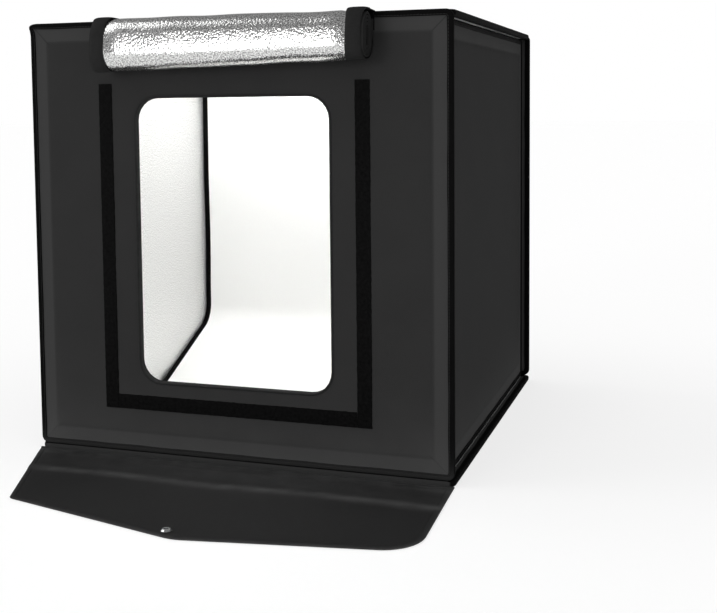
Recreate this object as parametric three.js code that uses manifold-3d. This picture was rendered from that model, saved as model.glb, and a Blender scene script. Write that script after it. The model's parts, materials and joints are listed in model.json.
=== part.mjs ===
// Light tent cube: a folding photo box with boarded cloth walls, a rolled window cover,
// a closure flap, a hanging backdrop and two light bars under the roof.
// Millimetres, +Z up. The origin is the centre of the base's underside, and the front faces -Y.
import * as THREE from 'three';
import { mergeVertices } from 'three/addons/utils/BufferGeometryUtils.js';
import Module from 'manifold-3d';

const wasm = await Module();
wasm.setup();

// Driving dimensions

// The cube and its wall build-up, from the outer face inwards
const cubeSide = 600;
const coverCloth = 0.8;
const boardThickness = 5.8;
const liningCloth = 0.8;
const layerGap = 0.3;
const seamGap = 0.3;
const sideInset = 12;

// The bound edge of a wall and the pressed border inside it
const bindingWidth = 8;
const bindingCloth = 1.3;
const bindingEdgeRound = 2;
const bindingCorner = 10;
const innerCorner = 3;
const borderWidth = 20;
const borderDrop = 1.6;
const bindingSeat = 2.5;

// Front window, measured in from the cube's sides, foot and top, and the hook-and-loop tape round it
const windowMargin = 162;
const windowSill = 108;
const windowHeadroom = 105;
const windowCorner = 30;
const rimCloth = 1.2;
const rimLap = 3;
const rimProud = 0.6;
const tapeWidth = 20;
const tapeThickness = 1.8;
const tapeOutside = 35;
const tapeBelow = 20;
const tapeAbove = 20;

// Rolled window cover, flattened by its two straps
const rollTall = 68;
const rollDeep = 48;
const rollSheet = 3.8;
const rollTurnGap = 0.8;
const rollTurns = 4;
const rollShift = 10;
const rollDrop = 32;
const rollSeamDrop = 10;
const rollStandoff = 2;
const strapWidth = 25;
const strapCloth = 1.2;
const strapClearance = 0.4;
const strapTailSetback = 6;
const strapFoot = 12;

// Closure flap: a spine sewn to the base's front edge and a tongue with a snap
const flapThickness = 2.4;
const flapRootWidth = 2;
const spineDepth = 78;
const flapLeftIn = 80;
const flapLeftReach = 194;
const flapLeftCorner = 10;
const flapRightOut = 7;
const flapRightReach = 211;
const flapRightCorner = 50;
const flapApexX = 35;
const flapApexReach = 258;
const flapApexCorner = 60;
const snapSideOffset = 14.5;
const snapSetback = 18;
const snapDiameter = 13.5;
const snapHeight = 2.6;
const snapPost = 4;
const snapCapThickness = 1;
const studHeight = 2.8;
const studBall = 5.4;
const studDrop = 150;

// Backdrop sheet
const backdropSideGap = 1;
const backdropSheet = 0.8;
const backdropEdge = 9;
const backdropEdgeThickness = 1.6;
const backdropSetback = 87;
const backdropBend = 97;
const backdropBendRadius = 43;
const backdropLanding = 292;
const backdropLandingRadius = 150;
const backdropFrontGap = 20;
const backdropHem = 18;
const backdropHemRadius = 6;

// Shooting hatch in the roof
const hatchWidth = 200;
const hatchDepth = 140;
const hatchCorner = 20;
const hatchCentreY = -30;
const hatchLap = 25;
const hatchTapeWidth = 16;
const hatchTapeThickness = 1.5;

// Light bars, and the ceiling tapes that they hang from
const barSideClearance = 30;
const barWidth = 26;
const barHeight = 12;
const barWall = 1.5;
const barLip = 2;
const diffuserDrop = 4;
const diffuserWall = 1.2;
const ledStripWidth = 14;
const ledStripThickness = 1.2;
const endCapThickness = 3;
const socketRadius = 5;
const socketLength = 7;
const socketBore = 3.2;
const socketBoreDepth = 5;
const frontBarSetback = 110;
const rearBarSetback = 190;
const ceilingTapeSideGap = 70;
const ceilingTapeFrontSetback = 38;
const ceilingTapeRearSetback = 110;
const barTapeMargin = 10;

// Fineness of curves, in steps
const cornerSteps = 4;
const lathSteps = 20;
const rollSteps = 18;
const bendSteps = 6;

// Values worked out from the driving dimensions
const half = cubeSide / 2;
const wallThickness = coverCloth + boardThickness + liningCloth + 2 * layerGap;
const sideHalf = half - wallThickness - seamGap;
const uprightHalf = (cubeSide - wallThickness - seamGap) / 2;
const uprightCentreZ = cubeSide - uprightHalf;
const sideFaceX = half - sideInset;
const insideX = sideFaceX - wallThickness;
const ceilingZ = cubeSide - wallThickness;
const fieldInset = bindingWidth + borderWidth;
const borderInset = bindingWidth + layerGap;
const marginLevel = borderDrop;
const marginBoard = wallThickness - 2 * (marginLevel + coverCloth + layerGap);
const windowWidth = cubeSide - 2 * windowMargin;
const windowHeight = cubeSide - windowSill - windowHeadroom;
const tapeSpan = windowWidth + 2 * (tapeOutside + tapeWidth);
const tapeFoot = windowSill - tapeBelow - tapeWidth;
const tapeTop = windowSill + windowHeight + tapeAbove;

// Materials
function finish(color, roughness, metalness = 0) {
  return new THREE.MeshStandardMaterial({ color, roughness, metalness });
}
const blackNylon = () => finish(0x2f2f2f, 0.7);
const blackBinding = () => finish(0x101010, 0.8);
const blackTape = () => finish(0x0d0d0d, 0.95);
const silverLining = () => finish(0xc9c9c7, 0.35, 0.6);
const stiffenerBoard = () => finish(0xd9d9d4, 0.7);
const whiteSheet = () => finish(0xf4f4f2, 0.6);
const snapMetal = () => finish(0xc8cacc, 0.2, 1);
const barMetal = () => finish(0xb9bcc0, 0.35, 0.9);
const whitePlastic = () => finish(0xf2f2ec, 0.4);
const blackPlastic = () => finish(0x1a1a1a, 0.5);

// A rounded rectangle of points at one depth below a wall's outer face.
// Every ring has the same number of points, so any two can be joined.
function ring(halfU, halfV, radius, depth, centreV = 0) {
  const points = [];
  const corners = [[1, 1], [-1, 1], [-1, -1], [1, -1]];
  corners.forEach(([signU, signV], quarter) => {
    for (let step = 0; step <= cornerSteps; step += 1) {
      const angle = (quarter + step / cornerSteps) * Math.PI / 2;
      const u = signU * (halfU - radius) + radius * Math.cos(angle);
      const v = centreV + signV * (halfV - radius) + radius * Math.sin(angle);
      points.push(new THREE.Vector3(u, v, -depth));
    }
  });
  return points;
}

// Turns a geometry's faces round if they point inwards.
function faceOut(geometry) {
  const at = geometry.attributes.position;
  const index = geometry.index.array;
  const [a, b, c] = [new THREE.Vector3(), new THREE.Vector3(), new THREE.Vector3()];
  let volume = 0;
  for (let i = 0; i < index.length; i += 3) {
    a.fromBufferAttribute(at, index[i]);
    b.fromBufferAttribute(at, index[i + 1]);
    c.fromBufferAttribute(at, index[i + 2]);
    volume += a.dot(b.cross(c));
  }
  if (volume < 0) {
    for (let i = 0; i < index.length; i += 3) {
      [index[i], index[i + 1]] = [index[i + 1], index[i]];
    }
  }
  geometry.computeVertexNormals();
  return geometry;
}

// Joins rings into one closed body: a loop of rings, or a stack with flat ends.
function loft(rings, closed) {
  const count = rings[0].length;
  const positions = rings.flat().flatMap((p) => [p.x, p.y, p.z]);
  const index = [];
  const spans = closed ? rings.length : rings.length - 1;
  for (let r = 0; r < spans; r += 1) {
    const next = (r + 1) % rings.length;
    for (let i = 0; i < count; i += 1) {
      const j = (i + 1) % count;
      const [p, q] = [r * count + i, r * count + j];
      const [s, t] = [next * count + i, next * count + j];
      index.push(p, q, t, p, t, s);
    }
  }
  if (!closed) {
    const outline = (points) => points.map((p) => new THREE.Vector2(p.x, p.y));
    const start = THREE.ShapeUtils.triangulateShape(outline(rings[0]), []);
    start.forEach(([i, j, k]) => index.push(k, j, i));
    const base = (rings.length - 1) * count;
    const end = THREE.ShapeUtils.triangulateShape(outline(rings.at(-1)), []);
    end.forEach(([i, j, k]) => index.push(base + i, base + j, base + k));
  }
  const geometry = new THREE.BufferGeometry();
  geometry.setAttribute('position', new THREE.Float32BufferAttribute(positions, 3));
  geometry.setIndex(index);
  return faceOut(geometry);
}

// Extrudes an outline of [y, z] points along X, from a start to an end.
function alongX(outline, startX, endX) {
  const shape = new THREE.Shape(outline.map(([y, z]) => new THREE.Vector2(y, z)));
  const options = { depth: endX - startX, bevelEnabled: false, steps: 1 };
  const geometry = new THREE.ExtrudeGeometry(shape, options);
  const [x, y, z] = [new THREE.Vector3(1, 0, 0), new THREE.Vector3(0, 1, 0), new THREE.Vector3(0, 0, 1)];
  geometry.applyMatrix4(new THREE.Matrix4().makeBasis(y, z, x));
  return geometry.translate(startX, 0, 0);
}

// A path with each inner corner rounded to its own radius.
function roundedPath(corners) {
  const path = [];
  corners.forEach(({ at, radius }, i) => {
    if (!radius) {
      path.push(at);
      return;
    }
    const back = corners[i - 1].at.clone().sub(at).normalize();
    const ahead = corners[i + 1].at.clone().sub(at).normalize();
    const opening = Math.acos(THREE.MathUtils.clamp(back.dot(ahead), -1, 1));
    const reach = radius / Math.tan(opening / 2);
    const middle = back.clone().add(ahead).normalize();
    const centre = at.clone().addScaledVector(middle, radius / Math.sin(opening / 2));
    const first = at.clone().addScaledVector(back, reach).sub(centre);
    const last = at.clone().addScaledVector(ahead, reach).sub(centre);
    const turn = Math.sign(first.cross(last)) * (Math.PI - opening);
    for (let step = 0; step <= bendSteps; step += 1) {
      const arm = first.clone().rotateAround(new THREE.Vector2(), turn * step / bendSteps);
      path.push(centre.clone().add(arm));
    }
  });
  return path;
}

// The outline of a sheet of even thickness that follows a path, as [y, z] points.
function sheetOutline(path, thickness) {
  const offset = (side) => path.map((point, i) => {
    const before = path[Math.max(i - 1, 0)];
    const after = path[Math.min(i + 1, path.length - 1)];
    const along = after.clone().sub(before).normalize();
    return [point.x - side * along.y * thickness / 2, point.y + side * along.x * thickness / 2];
  });
  return [...offset(1), ...offset(-1).reverse()];
}

// Booleans on closed bodies
function solid(geometry) {
  const bare = geometry.clone();
  bare.deleteAttribute('normal');
  bare.deleteAttribute('uv');
  const merged = mergeVertices(bare);
  return new wasm.Manifold(new wasm.Mesh({
    numProp: 3,
    vertProperties: new Float32Array(merged.attributes.position.array),
    triVerts: new Uint32Array(merged.index.array),
  }));
}
function surface(manifold) {
  const mesh = manifold.getMesh();
  const geometry = new THREE.BufferGeometry();
  geometry.setAttribute('position', new THREE.BufferAttribute(new Float32Array(mesh.vertProperties), 3));
  geometry.setIndex(Array.from(mesh.triVerts));
  geometry.computeVertexNormals();
  return geometry;
}

function piece(name, geometry, material) {
  const mesh = new THREE.Mesh(geometry, material);
  mesh.name = name;
  return mesh;
}

function boxBetween(low, high) {
  const size = high.map((value, i) => value - low[i]);
  const middle = high.map((value, i) => (value + low[i]) / 2);
  return new THREE.BoxGeometry(...size).translate(...middle);
}

// Walls. In a wall's own group X runs across it, Y up it, and +Z points out of the tent.

// One layer's rings between two depths, from the field's edge over the border to the seat in the binding
function layerRings({ halfU, halfV }, { fieldTop, fieldFoot, marginTop, marginFoot }) {
  const at = (inset, depth) => {
    const radius = Math.max(bindingCorner - inset, innerCorner);
    return ring(halfU - inset, halfV - inset, radius, depth);
  };
  return [
    at(fieldInset, fieldTop),
    at(borderInset, marginTop),
    at(bindingSeat, marginTop),
    at(bindingSeat, marginFoot),
    at(borderInset, marginFoot),
    at(fieldInset, fieldFoot),
  ];
}

function layer(wall, depths) {
  const rings = layerRings(wall, depths);
  const { opening } = wall;
  if (!opening) {
    return loft(rings, false);
  }
  const room = rimCloth + layerGap;
  const cut = (depth) => ring(
    opening.halfU + room, opening.halfV + room, opening.radius + room, depth, opening.centreV,
  );
  return loft([cut(depths.fieldTop), ...rings, cut(depths.fieldFoot)], true);
}

// The tape that wraps a wall's edge: a C section swept round the wall
function binding({ halfU, halfV }) {
  const at = (inset, depth) => {
    const radius = Math.max(bindingCorner - inset, innerCorner);
    return ring(halfU - inset, halfV - inset, radius, depth);
  };
  const softened = bindingEdgeRound * (1 - Math.SQRT1_2);
  const web = bindingSeat - layerGap;
  return loft([
    at(bindingWidth, 0),
    at(bindingEdgeRound, 0),
    at(softened, softened),
    at(0, bindingEdgeRound),
    at(0, wallThickness - bindingEdgeRound),
    at(softened, wallThickness - softened),
    at(bindingEdgeRound, wallThickness),
    at(bindingWidth, wallThickness),
    at(bindingWidth, wallThickness - bindingCloth),
    at(web, wallThickness - bindingCloth),
    at(web, bindingCloth),
    at(bindingWidth, bindingCloth),
  ], true);
}

// The tape that wraps the cut edge of an opening through a wall
function openingRim({ opening }) {
  const at = (out, depth) => ring(
    opening.halfU + out, opening.halfV + out, opening.radius + out, depth, opening.centreV,
  );
  const outerLip = -layerGap;
  const innerLip = wallThickness + layerGap;
  return loft([
    at(0, outerLip - rimProud),
    at(rimLap, outerLip - rimProud),
    at(rimLap, outerLip),
    at(rimCloth, outerLip),
    at(rimCloth, innerLip),
    at(rimLap, innerLip),
    at(rimLap, innerLip + rimProud),
    at(0, innerLip + rimProud),
  ], true);
}

function wallGroup(wall) {
  const group = new THREE.Group();
  group.position.set(...wall.position);
  group.rotation.set(wall.tilt, 0, wall.turn, 'ZXY');
  const boardTop = coverCloth + layerGap;
  const boardFoot = boardTop + boardThickness;
  const marginBoardTop = marginLevel + coverCloth + layerGap;
  const marginBoardFoot = marginBoardTop + marginBoard;
  const cover = layer(wall, {
    fieldTop: 0,
    fieldFoot: coverCloth,
    marginTop: marginLevel,
    marginFoot: marginLevel + coverCloth,
  });
  const board = layer(wall, {
    fieldTop: boardTop,
    fieldFoot: boardFoot,
    marginTop: marginBoardTop,
    marginFoot: marginBoardFoot,
  });
  const lining = layer(wall, {
    fieldTop: boardFoot + layerGap,
    fieldFoot: wallThickness,
    marginTop: marginBoardFoot + layerGap,
    marginFoot: wallThickness - marginLevel,
  });
  group.add(piece(`${wall.name}_cover`, cover, blackNylon()));
  group.add(piece(`${wall.name}_board`, board, stiffenerBoard()));
  group.add(piece(`${wall.name}_lining`, lining, silverLining()));
  group.add(piece(`${wall.name}_binding`, binding(wall), blackBinding()));
  return group;
}

const upright = Math.PI / 2;
const frontWindow = {
  halfU: windowWidth / 2,
  halfV: windowHeight / 2,
  radius: windowCorner,
  centreV: windowSill + windowHeight / 2 - uprightCentreZ,
};
const roofHole = {
  halfU: hatchWidth / 2,
  halfV: hatchDepth / 2,
  radius: hatchCorner,
  centreV: hatchCentreY,
};
const walls = {
  base: {
    name: 'base', halfU: half, halfV: half, position: [0, 0, 0], tilt: Math.PI, turn: 0,
  },
  front: {
    name: 'front',
    halfU: half,
    halfV: uprightHalf,
    position: [0, -half, uprightCentreZ],
    tilt: upright,
    turn: 0,
    opening: frontWindow,
  },
  back: {
    name: 'back',
    halfU: half,
    halfV: uprightHalf,
    position: [0, half, uprightCentreZ],
    tilt: upright,
    turn: Math.PI,
  },
  right: {
    name: 'right',
    halfU: sideHalf,
    halfV: sideHalf,
    position: [sideFaceX, 0, half],
    tilt: upright,
    turn: upright,
  },
  left: {
    name: 'left',
    halfU: sideHalf,
    halfV: sideHalf,
    position: [-sideFaceX, 0, half],
    tilt: upright,
    turn: -upright,
  },
  roof: {
    name: 'roof',
    halfU: half,
    halfV: sideHalf,
    position: [0, 0, cubeSide],
    tilt: 0,
    turn: 0,
    opening: roofHole,
  },
};

// Front wall's fittings: window rim, U of hook-and-loop tape, rolled cover and straps

function windowTapes() {
  const group = new THREE.Group();
  const nearFace = -half - layerGap;
  const farFace = nearFace - tapeThickness;
  const outer = tapeSpan / 2;
  const inner = outer - tapeWidth;
  const sides = [['left', -outer, -inner], ['right', inner, outer]];
  sides.forEach(([side, lowX, highX]) => {
    const strip = boxBetween([lowX, farFace, tapeFoot], [highX, nearFace, tapeTop]);
    group.add(piece(`window_tape_${side}`, strip, blackTape()));
  });
  const footX = inner - layerGap;
  const foot = boxBetween([-footX, farFace, tapeFoot], [footX, nearFace, tapeFoot + tapeWidth]);
  group.add(piece('window_tape_bottom', foot, blackTape()));
  return group;
}

const rollLength = tapeSpan;
const rollHeight = cubeSide - rollDrop;
const rollCentreY = -half - rollStandoff - rollDeep / 2;
const rollFlat = (rollTall - rollDeep) / 2;

// The cover hangs from its seam behind the roll, passes under it and winds inwards.
// Each turn runs down the back, round the foot and up the front, and steps in over the top.
function rollPath() {
  const outer = (rollDeep - rollSheet) / 2;
  const pitch = rollSheet + rollTurnGap;
  const halfTurn = rollSteps / 2;
  const points = [new THREE.Vector2(rollCentreY + outer, cubeSide - rollSeamDrop)];
  const add = (radius, angle, centreZ) => {
    const y = rollCentreY + radius * Math.cos(angle);
    points.push(new THREE.Vector2(y, centreZ - radius * Math.sin(angle)));
  };
  for (let turn = 0; turn < rollTurns; turn += 1) {
    const radius = outer - pitch * turn;
    for (let step = 0; step <= halfTurn; step += 1) {
      add(radius, Math.PI * step / halfTurn, rollHeight - rollFlat);
    }
    for (let step = 0; step < halfTurn; step += 1) {
      const share = step / halfTurn;
      add(radius - pitch * share, Math.PI * (1 + share), rollHeight + rollFlat);
    }
  }
  return points;
}

// How near the sheet comes to its own other turns, from each point to each stretch half a turn away
function leastTurnGap(path) {
  let least = Infinity;
  const apart = rollSteps / 2;
  const nearest = new THREE.Vector3();
  const flat = path.map((point) => new THREE.Vector3(point.x, point.y, 0));
  flat.forEach((point, i) => {
    for (let j = 0; j < flat.length - 1; j += 1) {
      if (j + 1 < i - apart || j > i + apart) {
        new THREE.Line3(flat[j], flat[j + 1]).closestPointToPoint(point, true, nearest);
        least = Math.min(least, point.distanceTo(nearest) - rollSheet);
      }
    }
  });
  return least;
}

function pathLength(path) {
  return path.slice(1).reduce((sum, point, i) => sum + point.distanceTo(path[i]), 0);
}

function rolledCover() {
  const path = rollPath();
  console.log(`rolled window cover: least gap between turns ${leastTurnGap(path).toFixed(2)} mm`);
  console.log(`rolled window cover: flat size ${rollLength} x ${pathLength(path).toFixed(0)} mm`);
  const start = rollShift - rollLength / 2;
  const geometry = alongX(sheetOutline(path, rollSheet), start, start + rollLength);
  return piece('window_cover_roll', geometry, silverLining());
}

// A strap sewn over the front wall's top edge, that goes round the roll and ends on the wall behind it
function rollStrap(side, startX) {
  const arm = rollDeep / 2 + strapClearance + strapCloth / 2;
  const seatZ = cubeSide + layerGap + strapCloth / 2;
  const wallY = -half - layerGap - strapCloth / 2;
  const tailY = -half + strapTailSetback;
  const frontY = rollCentreY - arm;
  const crestZ = rollHeight + rollFlat + arm;
  const rise = (crestZ - seatZ) / (tailY - rollCentreY);
  const footZ = rollHeight - rollFlat - arm;
  const backRadius = wallY - rollCentreY - layerGap;
  const path = roundedPath([
    { at: new THREE.Vector2(tailY, seatZ) },
    { at: new THREE.Vector2(frontY, seatZ + rise * (tailY - frontY)), radius: arm },
    { at: new THREE.Vector2(frontY, footZ), radius: arm },
    { at: new THREE.Vector2(wallY, footZ), radius: backRadius },
    { at: new THREE.Vector2(wallY, footZ + backRadius + strapFoot) },
  ]);
  const geometry = alongX(sheetOutline(path, strapCloth), startX, startX + strapWidth);
  return piece(`roll_strap_${side}`, geometry, blackTape());
}

function frontFittings() {
  const group = new THREE.Group();
  group.add(windowTapes());
  group.add(rolledCover());
  const rollStart = rollShift - rollLength / 2;
  group.add(rollStrap('left', rollStart));
  group.add(rollStrap('right', rollStart + rollLength - strapWidth));
  return group;
}

// Closure flap, as it lies on the floor in front of the base

const rootY = -half - layerGap - flapRootWidth - layerGap;
const flapFrontY = (reach) => rootY - reach;
const snapX = flapApexX - snapSideOffset;
const snapReach = flapApexReach - snapSetback;
const leftEdgeX = (reach) => -half + flapLeftIn * reach / flapLeftReach;
const rightEdgeX = (reach) => half + flapRightOut * reach / flapRightReach;

function flapPanel(outline) {
  const shape = new THREE.Shape(outline);
  return new THREE.ExtrudeGeometry(shape, { depth: flapThickness, bevelEnabled: false });
}

function flapSpine() {
  const geometry = flapPanel([
    new THREE.Vector2(-half, rootY),
    new THREE.Vector2(leftEdgeX(spineDepth), flapFrontY(spineDepth)),
    new THREE.Vector2(rightEdgeX(spineDepth), flapFrontY(spineDepth)),
    new THREE.Vector2(half, rootY),
  ]);
  return piece('flap_spine', geometry, blackNylon());
}

// The snap's cap sits in a pocket under the tongue, with its post through the cloth
function flapTongue() {
  const crease = spineDepth + layerGap;
  const outline = roundedPath([
    { at: new THREE.Vector2(rightEdgeX(crease), flapFrontY(crease)) },
    { at: new THREE.Vector2(leftEdgeX(crease), flapFrontY(crease)) },
    { at: new THREE.Vector2(-half + flapLeftIn, flapFrontY(flapLeftReach)), radius: flapLeftCorner },
    { at: new THREE.Vector2(flapApexX, flapFrontY(flapApexReach)), radius: flapApexCorner },
    { at: new THREE.Vector2(half + flapRightOut, flapFrontY(flapRightReach)), radius: flapRightCorner },
    { at: new THREE.Vector2(rightEdgeX(crease), flapFrontY(crease)) },
  ]);
  outline.pop();
  const holeRadius = snapPost / 2 + layerGap;
  const pocketRadius = snapDiameter / 2 + layerGap;
  const overrun = flapThickness;
  const hole = new THREE.CylinderGeometry(holeRadius, holeRadius, flapThickness + 2 * overrun, lathSteps);
  const pocketDepth = snapCapThickness + layerGap;
  const pocket = new THREE.CylinderGeometry(pocketRadius, pocketRadius, pocketDepth + overrun, lathSteps);
  hole.rotateX(upright).translate(snapX, flapFrontY(snapReach), flapThickness / 2);
  pocket.rotateX(upright).translate(snapX, flapFrontY(snapReach), (pocketDepth - overrun) / 2);
  const cut = solid(flapPanel(outline)).subtract(solid(hole)).subtract(solid(pocket));
  return piece('flap_tongue', surface(cut), blackNylon());
}

// A turned fastener part from a profile of [radius, height] points
function turned(name, profile, [x, y, z], tilt = upright) {
  const points = profile.map(([radius, height]) => new THREE.Vector2(radius, height));
  const mesh = piece(name, new THREE.LatheGeometry(points, lathSteps), snapMetal());
  mesh.position.set(x, y, z);
  mesh.rotation.x = tilt;
  return mesh;
}

function snapParts() {
  const group = new THREE.Group();
  const radius = snapDiameter / 2;
  const postTop = flapThickness + layerGap / 2;
  const post = snapPost / 2;
  const place = [snapX, flapFrontY(snapReach), 0];
  group.add(turned('snap_cap', [
    [0, layerGap / 2],
    [radius * 0.8, layerGap / 2],
    [radius, snapCapThickness / 2],
    [radius, snapCapThickness],
    [post, snapCapThickness],
    [post, postTop],
    [0, postTop],
  ], place));
  const seat = flapThickness + layerGap;
  const crown = seat + snapHeight;
  const well = studBall / 2 + layerGap;
  group.add(turned('snap_socket', [
    [0, seat],
    [radius, seat],
    [radius, seat + snapHeight / 3],
    [radius * 0.72, crown],
    [well, crown],
    [well, seat + snapHeight / 4],
    [0, seat + snapHeight / 4],
  ], place));
  const stand = half + layerGap;
  const flange = snapHeight / 3;
  group.add(turned('snap_stud', [
    [0, 0],
    [radius, 0],
    [radius * 0.9, flange],
    [studBall * 0.4, flange],
    [studBall / 2, studHeight * 0.7],
    [studBall * 0.4, studHeight],
    [0, studHeight],
  ], [0, stand, cubeSide - studDrop], 0));
  return group;
}

function closureFlap() {
  const group = new THREE.Group();
  const nearY = -half - layerGap;
  const root = boxBetween([-half, nearY - flapRootWidth, 0], [half, nearY, flapThickness]);
  group.add(piece('flap_root_tape', root, blackBinding()));
  group.add(flapSpine());
  group.add(flapTongue());
  group.add(snapParts());
  return group;
}

// Backdrop: a white sheet hung from the roof, swept down to the floor and forward over it

function backdrop() {
  const group = new THREE.Group();
  const hangY = half - backdropSetback;
  const thickest = Math.max(backdropSheet, backdropEdgeThickness);
  const topZ = ceilingZ - layerGap - tapeThickness - layerGap - thickest / 2;
  const floorZ = wallThickness + layerGap + thickest / 2;
  const path = roundedPath([
    { at: new THREE.Vector2(hangY + backdropHem, topZ) },
    { at: new THREE.Vector2(hangY, topZ), radius: backdropHemRadius },
    { at: new THREE.Vector2(hangY, backdropBend), radius: backdropBendRadius },
    { at: new THREE.Vector2(half - backdropLanding, floorZ), radius: backdropLandingRadius },
    { at: new THREE.Vector2(-half + backdropFrontGap, floorZ) },
  ]);
  const outer = insideX - backdropSideGap;
  const inner = outer - backdropEdge;
  const sheetX = inner - layerGap;
  const sheet = alongX(sheetOutline(path, backdropSheet), -sheetX, sheetX);
  group.add(piece('backdrop_sheet', sheet, whiteSheet()));
  [['left', -outer, -inner], ['right', inner, outer]].forEach(([side, lowX, highX]) => {
    const edge = alongX(sheetOutline(path, backdropEdgeThickness), lowX, highX);
    group.add(piece(`backdrop_binding_${side}`, edge, blackBinding()));
  });
  const tapeTopZ = ceilingZ - layerGap;
  const tapeLow = [-outer, hangY, tapeTopZ - tapeThickness];
  const tapeHigh = [outer, hangY + backdropHem, tapeTopZ];
  group.add(piece('backdrop_header_tape', boxBetween(tapeLow, tapeHigh), blackTape()));
  return group;
}

// Roof fittings: ceiling tapes for the light bars, and the shooting hatch

function ceilingTapes() {
  const group = new THREE.Group();
  const top = ceilingZ - layerGap;
  const inner = insideX - ceilingTapeSideGap - tapeWidth;
  [['left', -inner - tapeWidth], ['right', inner]].forEach(([side, x]) => {
    const low = [x, -half + ceilingTapeFrontSetback, top - tapeThickness];
    const high = [x + tapeWidth, half - ceilingTapeRearSetback, top];
    group.add(piece(`ceiling_tape_${side}`, boxBetween(low, high), blackTape()));
  });
  return group;
}

function hatch() {
  const group = new THREE.Group();
  group.position.set(0, 0, cubeSide);
  const at = (out, height) => ring(
    roofHole.halfU + out, roofHole.halfV + out, roofHole.radius + out, -height, hatchCentreY,
  );
  const tapeStart = rimLap + layerGap;
  const tapeEnd = tapeStart + hatchTapeWidth;
  const tapeFootZ = layerGap;
  const tapeTopZ = tapeFootZ + hatchTapeThickness;
  group.add(piece('hatch_landing_tape', loft([
    at(tapeStart, tapeFootZ),
    at(tapeEnd, tapeFootZ),
    at(tapeEnd, tapeTopZ),
    at(tapeStart, tapeTopZ),
  ], true), blackTape()));
  const liningFoot = tapeTopZ + layerGap;
  const liningTop = liningFoot + liningCloth;
  const coverFoot = liningTop + layerGap;
  const coverTop = coverFoot + coverCloth;
  group.add(piece('hatch_lining', loft([at(hatchLap, liningFoot), at(hatchLap, liningTop)], false), silverLining()));
  group.add(piece('hatch_cover', loft([at(hatchLap, coverFoot), at(hatchLap, coverTop)], false), blackNylon()));
  return group;
}

// Light bars. A bar's own group has its origin on the ceiling tapes' underside.

function lightBar(name, y) {
  const group = new THREE.Group();
  group.position.set(0, y, ceilingZ - layerGap - tapeThickness - layerGap);
  const halfLength = insideX - barSideClearance;
  const halfWidth = barWidth / 2;
  const hookX = halfLength - barTapeMargin;
  const hookLow = [-hookX, -tapeWidth / 2, -tapeThickness];
  const hook = boxBetween(hookLow, [hookX, tapeWidth / 2, 0]);
  group.add(piece(`${name}_hook_tape`, hook, blackTape()));
  const top = -tapeThickness - layerGap;
  const foot = top - barHeight;
  const inside = halfWidth - barWall;
  const channel = [
    [-halfWidth, foot], [-inside + barLip, foot], [-inside + barLip, foot + barWall],
    [-inside, foot + barWall], [-inside, top - barWall], [inside, top - barWall],
    [inside, foot + barWall], [inside - barLip, foot + barWall], [inside - barLip, foot],
    [halfWidth, foot], [halfWidth, top], [-halfWidth, top],
  ];
  group.add(piece(`${name}_channel`, alongX(channel, -halfLength, halfLength), barMetal()));
  const stripTop = top - barWall - layerGap;
  const stripLow = [-halfLength + barWall, -ledStripWidth / 2, stripTop - ledStripThickness];
  const strip = boxBetween(stripLow, [halfLength - barWall, ledStripWidth / 2, stripTop]);
  group.add(piece(`${name}_led_strip`, strip, whitePlastic()));
  group.add(piece(`${name}_diffuser`, diffuser(foot, inside, halfLength), whitePlastic()));
  endCaps(group, name, foot, top, halfWidth, halfLength);
  return group;
}

// A shallow bowed cover that closes the channel's mouth, as an arc inside and out
function diffuser(foot, inside, halfLength) {
  const reach = inside - barLip - layerGap;
  const arc = (halfSpan, drop) => {
    const points = [];
    for (let step = 0; step <= bendSteps; step += 1) {
      const share = 2 * step / bendSteps - 1;
      points.push([halfSpan * share, foot + barWall - drop * (1 - share * share)]);
    }
    return points;
  };
  const outer = arc(reach, diffuserDrop + barWall);
  const inner = arc(reach - diffuserWall, diffuserDrop + barWall - diffuserWall).reverse();
  return alongX([...outer, ...inner], -halfLength, halfLength);
}

// End caps; the right one has the round power socket moulded on
function endCaps(group, name, foot, top, halfWidth, halfLength) {
  const capFoot = foot - diffuserDrop;
  const near = halfLength + layerGap;
  const far = near + endCapThickness;
  const left = boxBetween([-far, -halfWidth, capFoot], [-near, halfWidth, top]);
  group.add(piece(`${name}_end_cap_left`, left, blackPlastic()));
  const right = boxBetween([near, -halfWidth, capFoot], [far, halfWidth, top]);
  const rooted = socketLength + endCapThickness / 2;
  const profile = [
    [0, 0],
    [socketRadius, 0],
    [socketRadius, rooted],
    [socketBore, rooted],
    [socketBore, rooted - socketBoreDepth],
    [0, rooted - socketBoreDepth],
  ].map(([radius, height]) => new THREE.Vector2(radius, height));
  const socket = new THREE.LatheGeometry(profile, lathSteps);
  socket.rotateZ(-upright).translate(far - endCapThickness / 2, 0, (top + foot) / 2);
  const joined = surface(solid(right).add(solid(socket)));
  group.add(piece(`${name}_end_cap_right`, joined, blackPlastic()));
}

// The whole tent
const tent = new THREE.Group();
Object.values(walls).forEach((wall) => tent.add(wallGroup(wall)));

const windowRim = piece('window_rim', openingRim(walls.front), blackBinding());
windowRim.position.set(...walls.front.position);
windowRim.rotation.set(upright, 0, 0);
const hatchRim = piece('hatch_rim', openingRim(walls.roof), blackBinding());
hatchRim.position.set(...walls.roof.position);
tent.add(windowRim, hatchRim);

tent.add(frontFittings());
tent.add(closureFlap());
tent.add(backdrop());
tent.add(ceilingTapes());
tent.add(hatch());
tent.add(lightBar('front_light', frontBarSetback - half));
tent.add(lightBar('rear_light', half - rearBarSetback));

export default tent;
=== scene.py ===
# %% [markdown]
# # Light tent cube
# A light tent is a folding box for photographing small things. Its six walls are stiff boards between a black
# outer cloth and a silver inner cloth, and each wall's edge is bound with a black tape. The CAD model gives
# every part its place and size. This script gives the parts their cloth, tape, metal and plastic, and models
# the soft ones anew, because sewn cloth is never quite flat.

import json
import math

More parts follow.
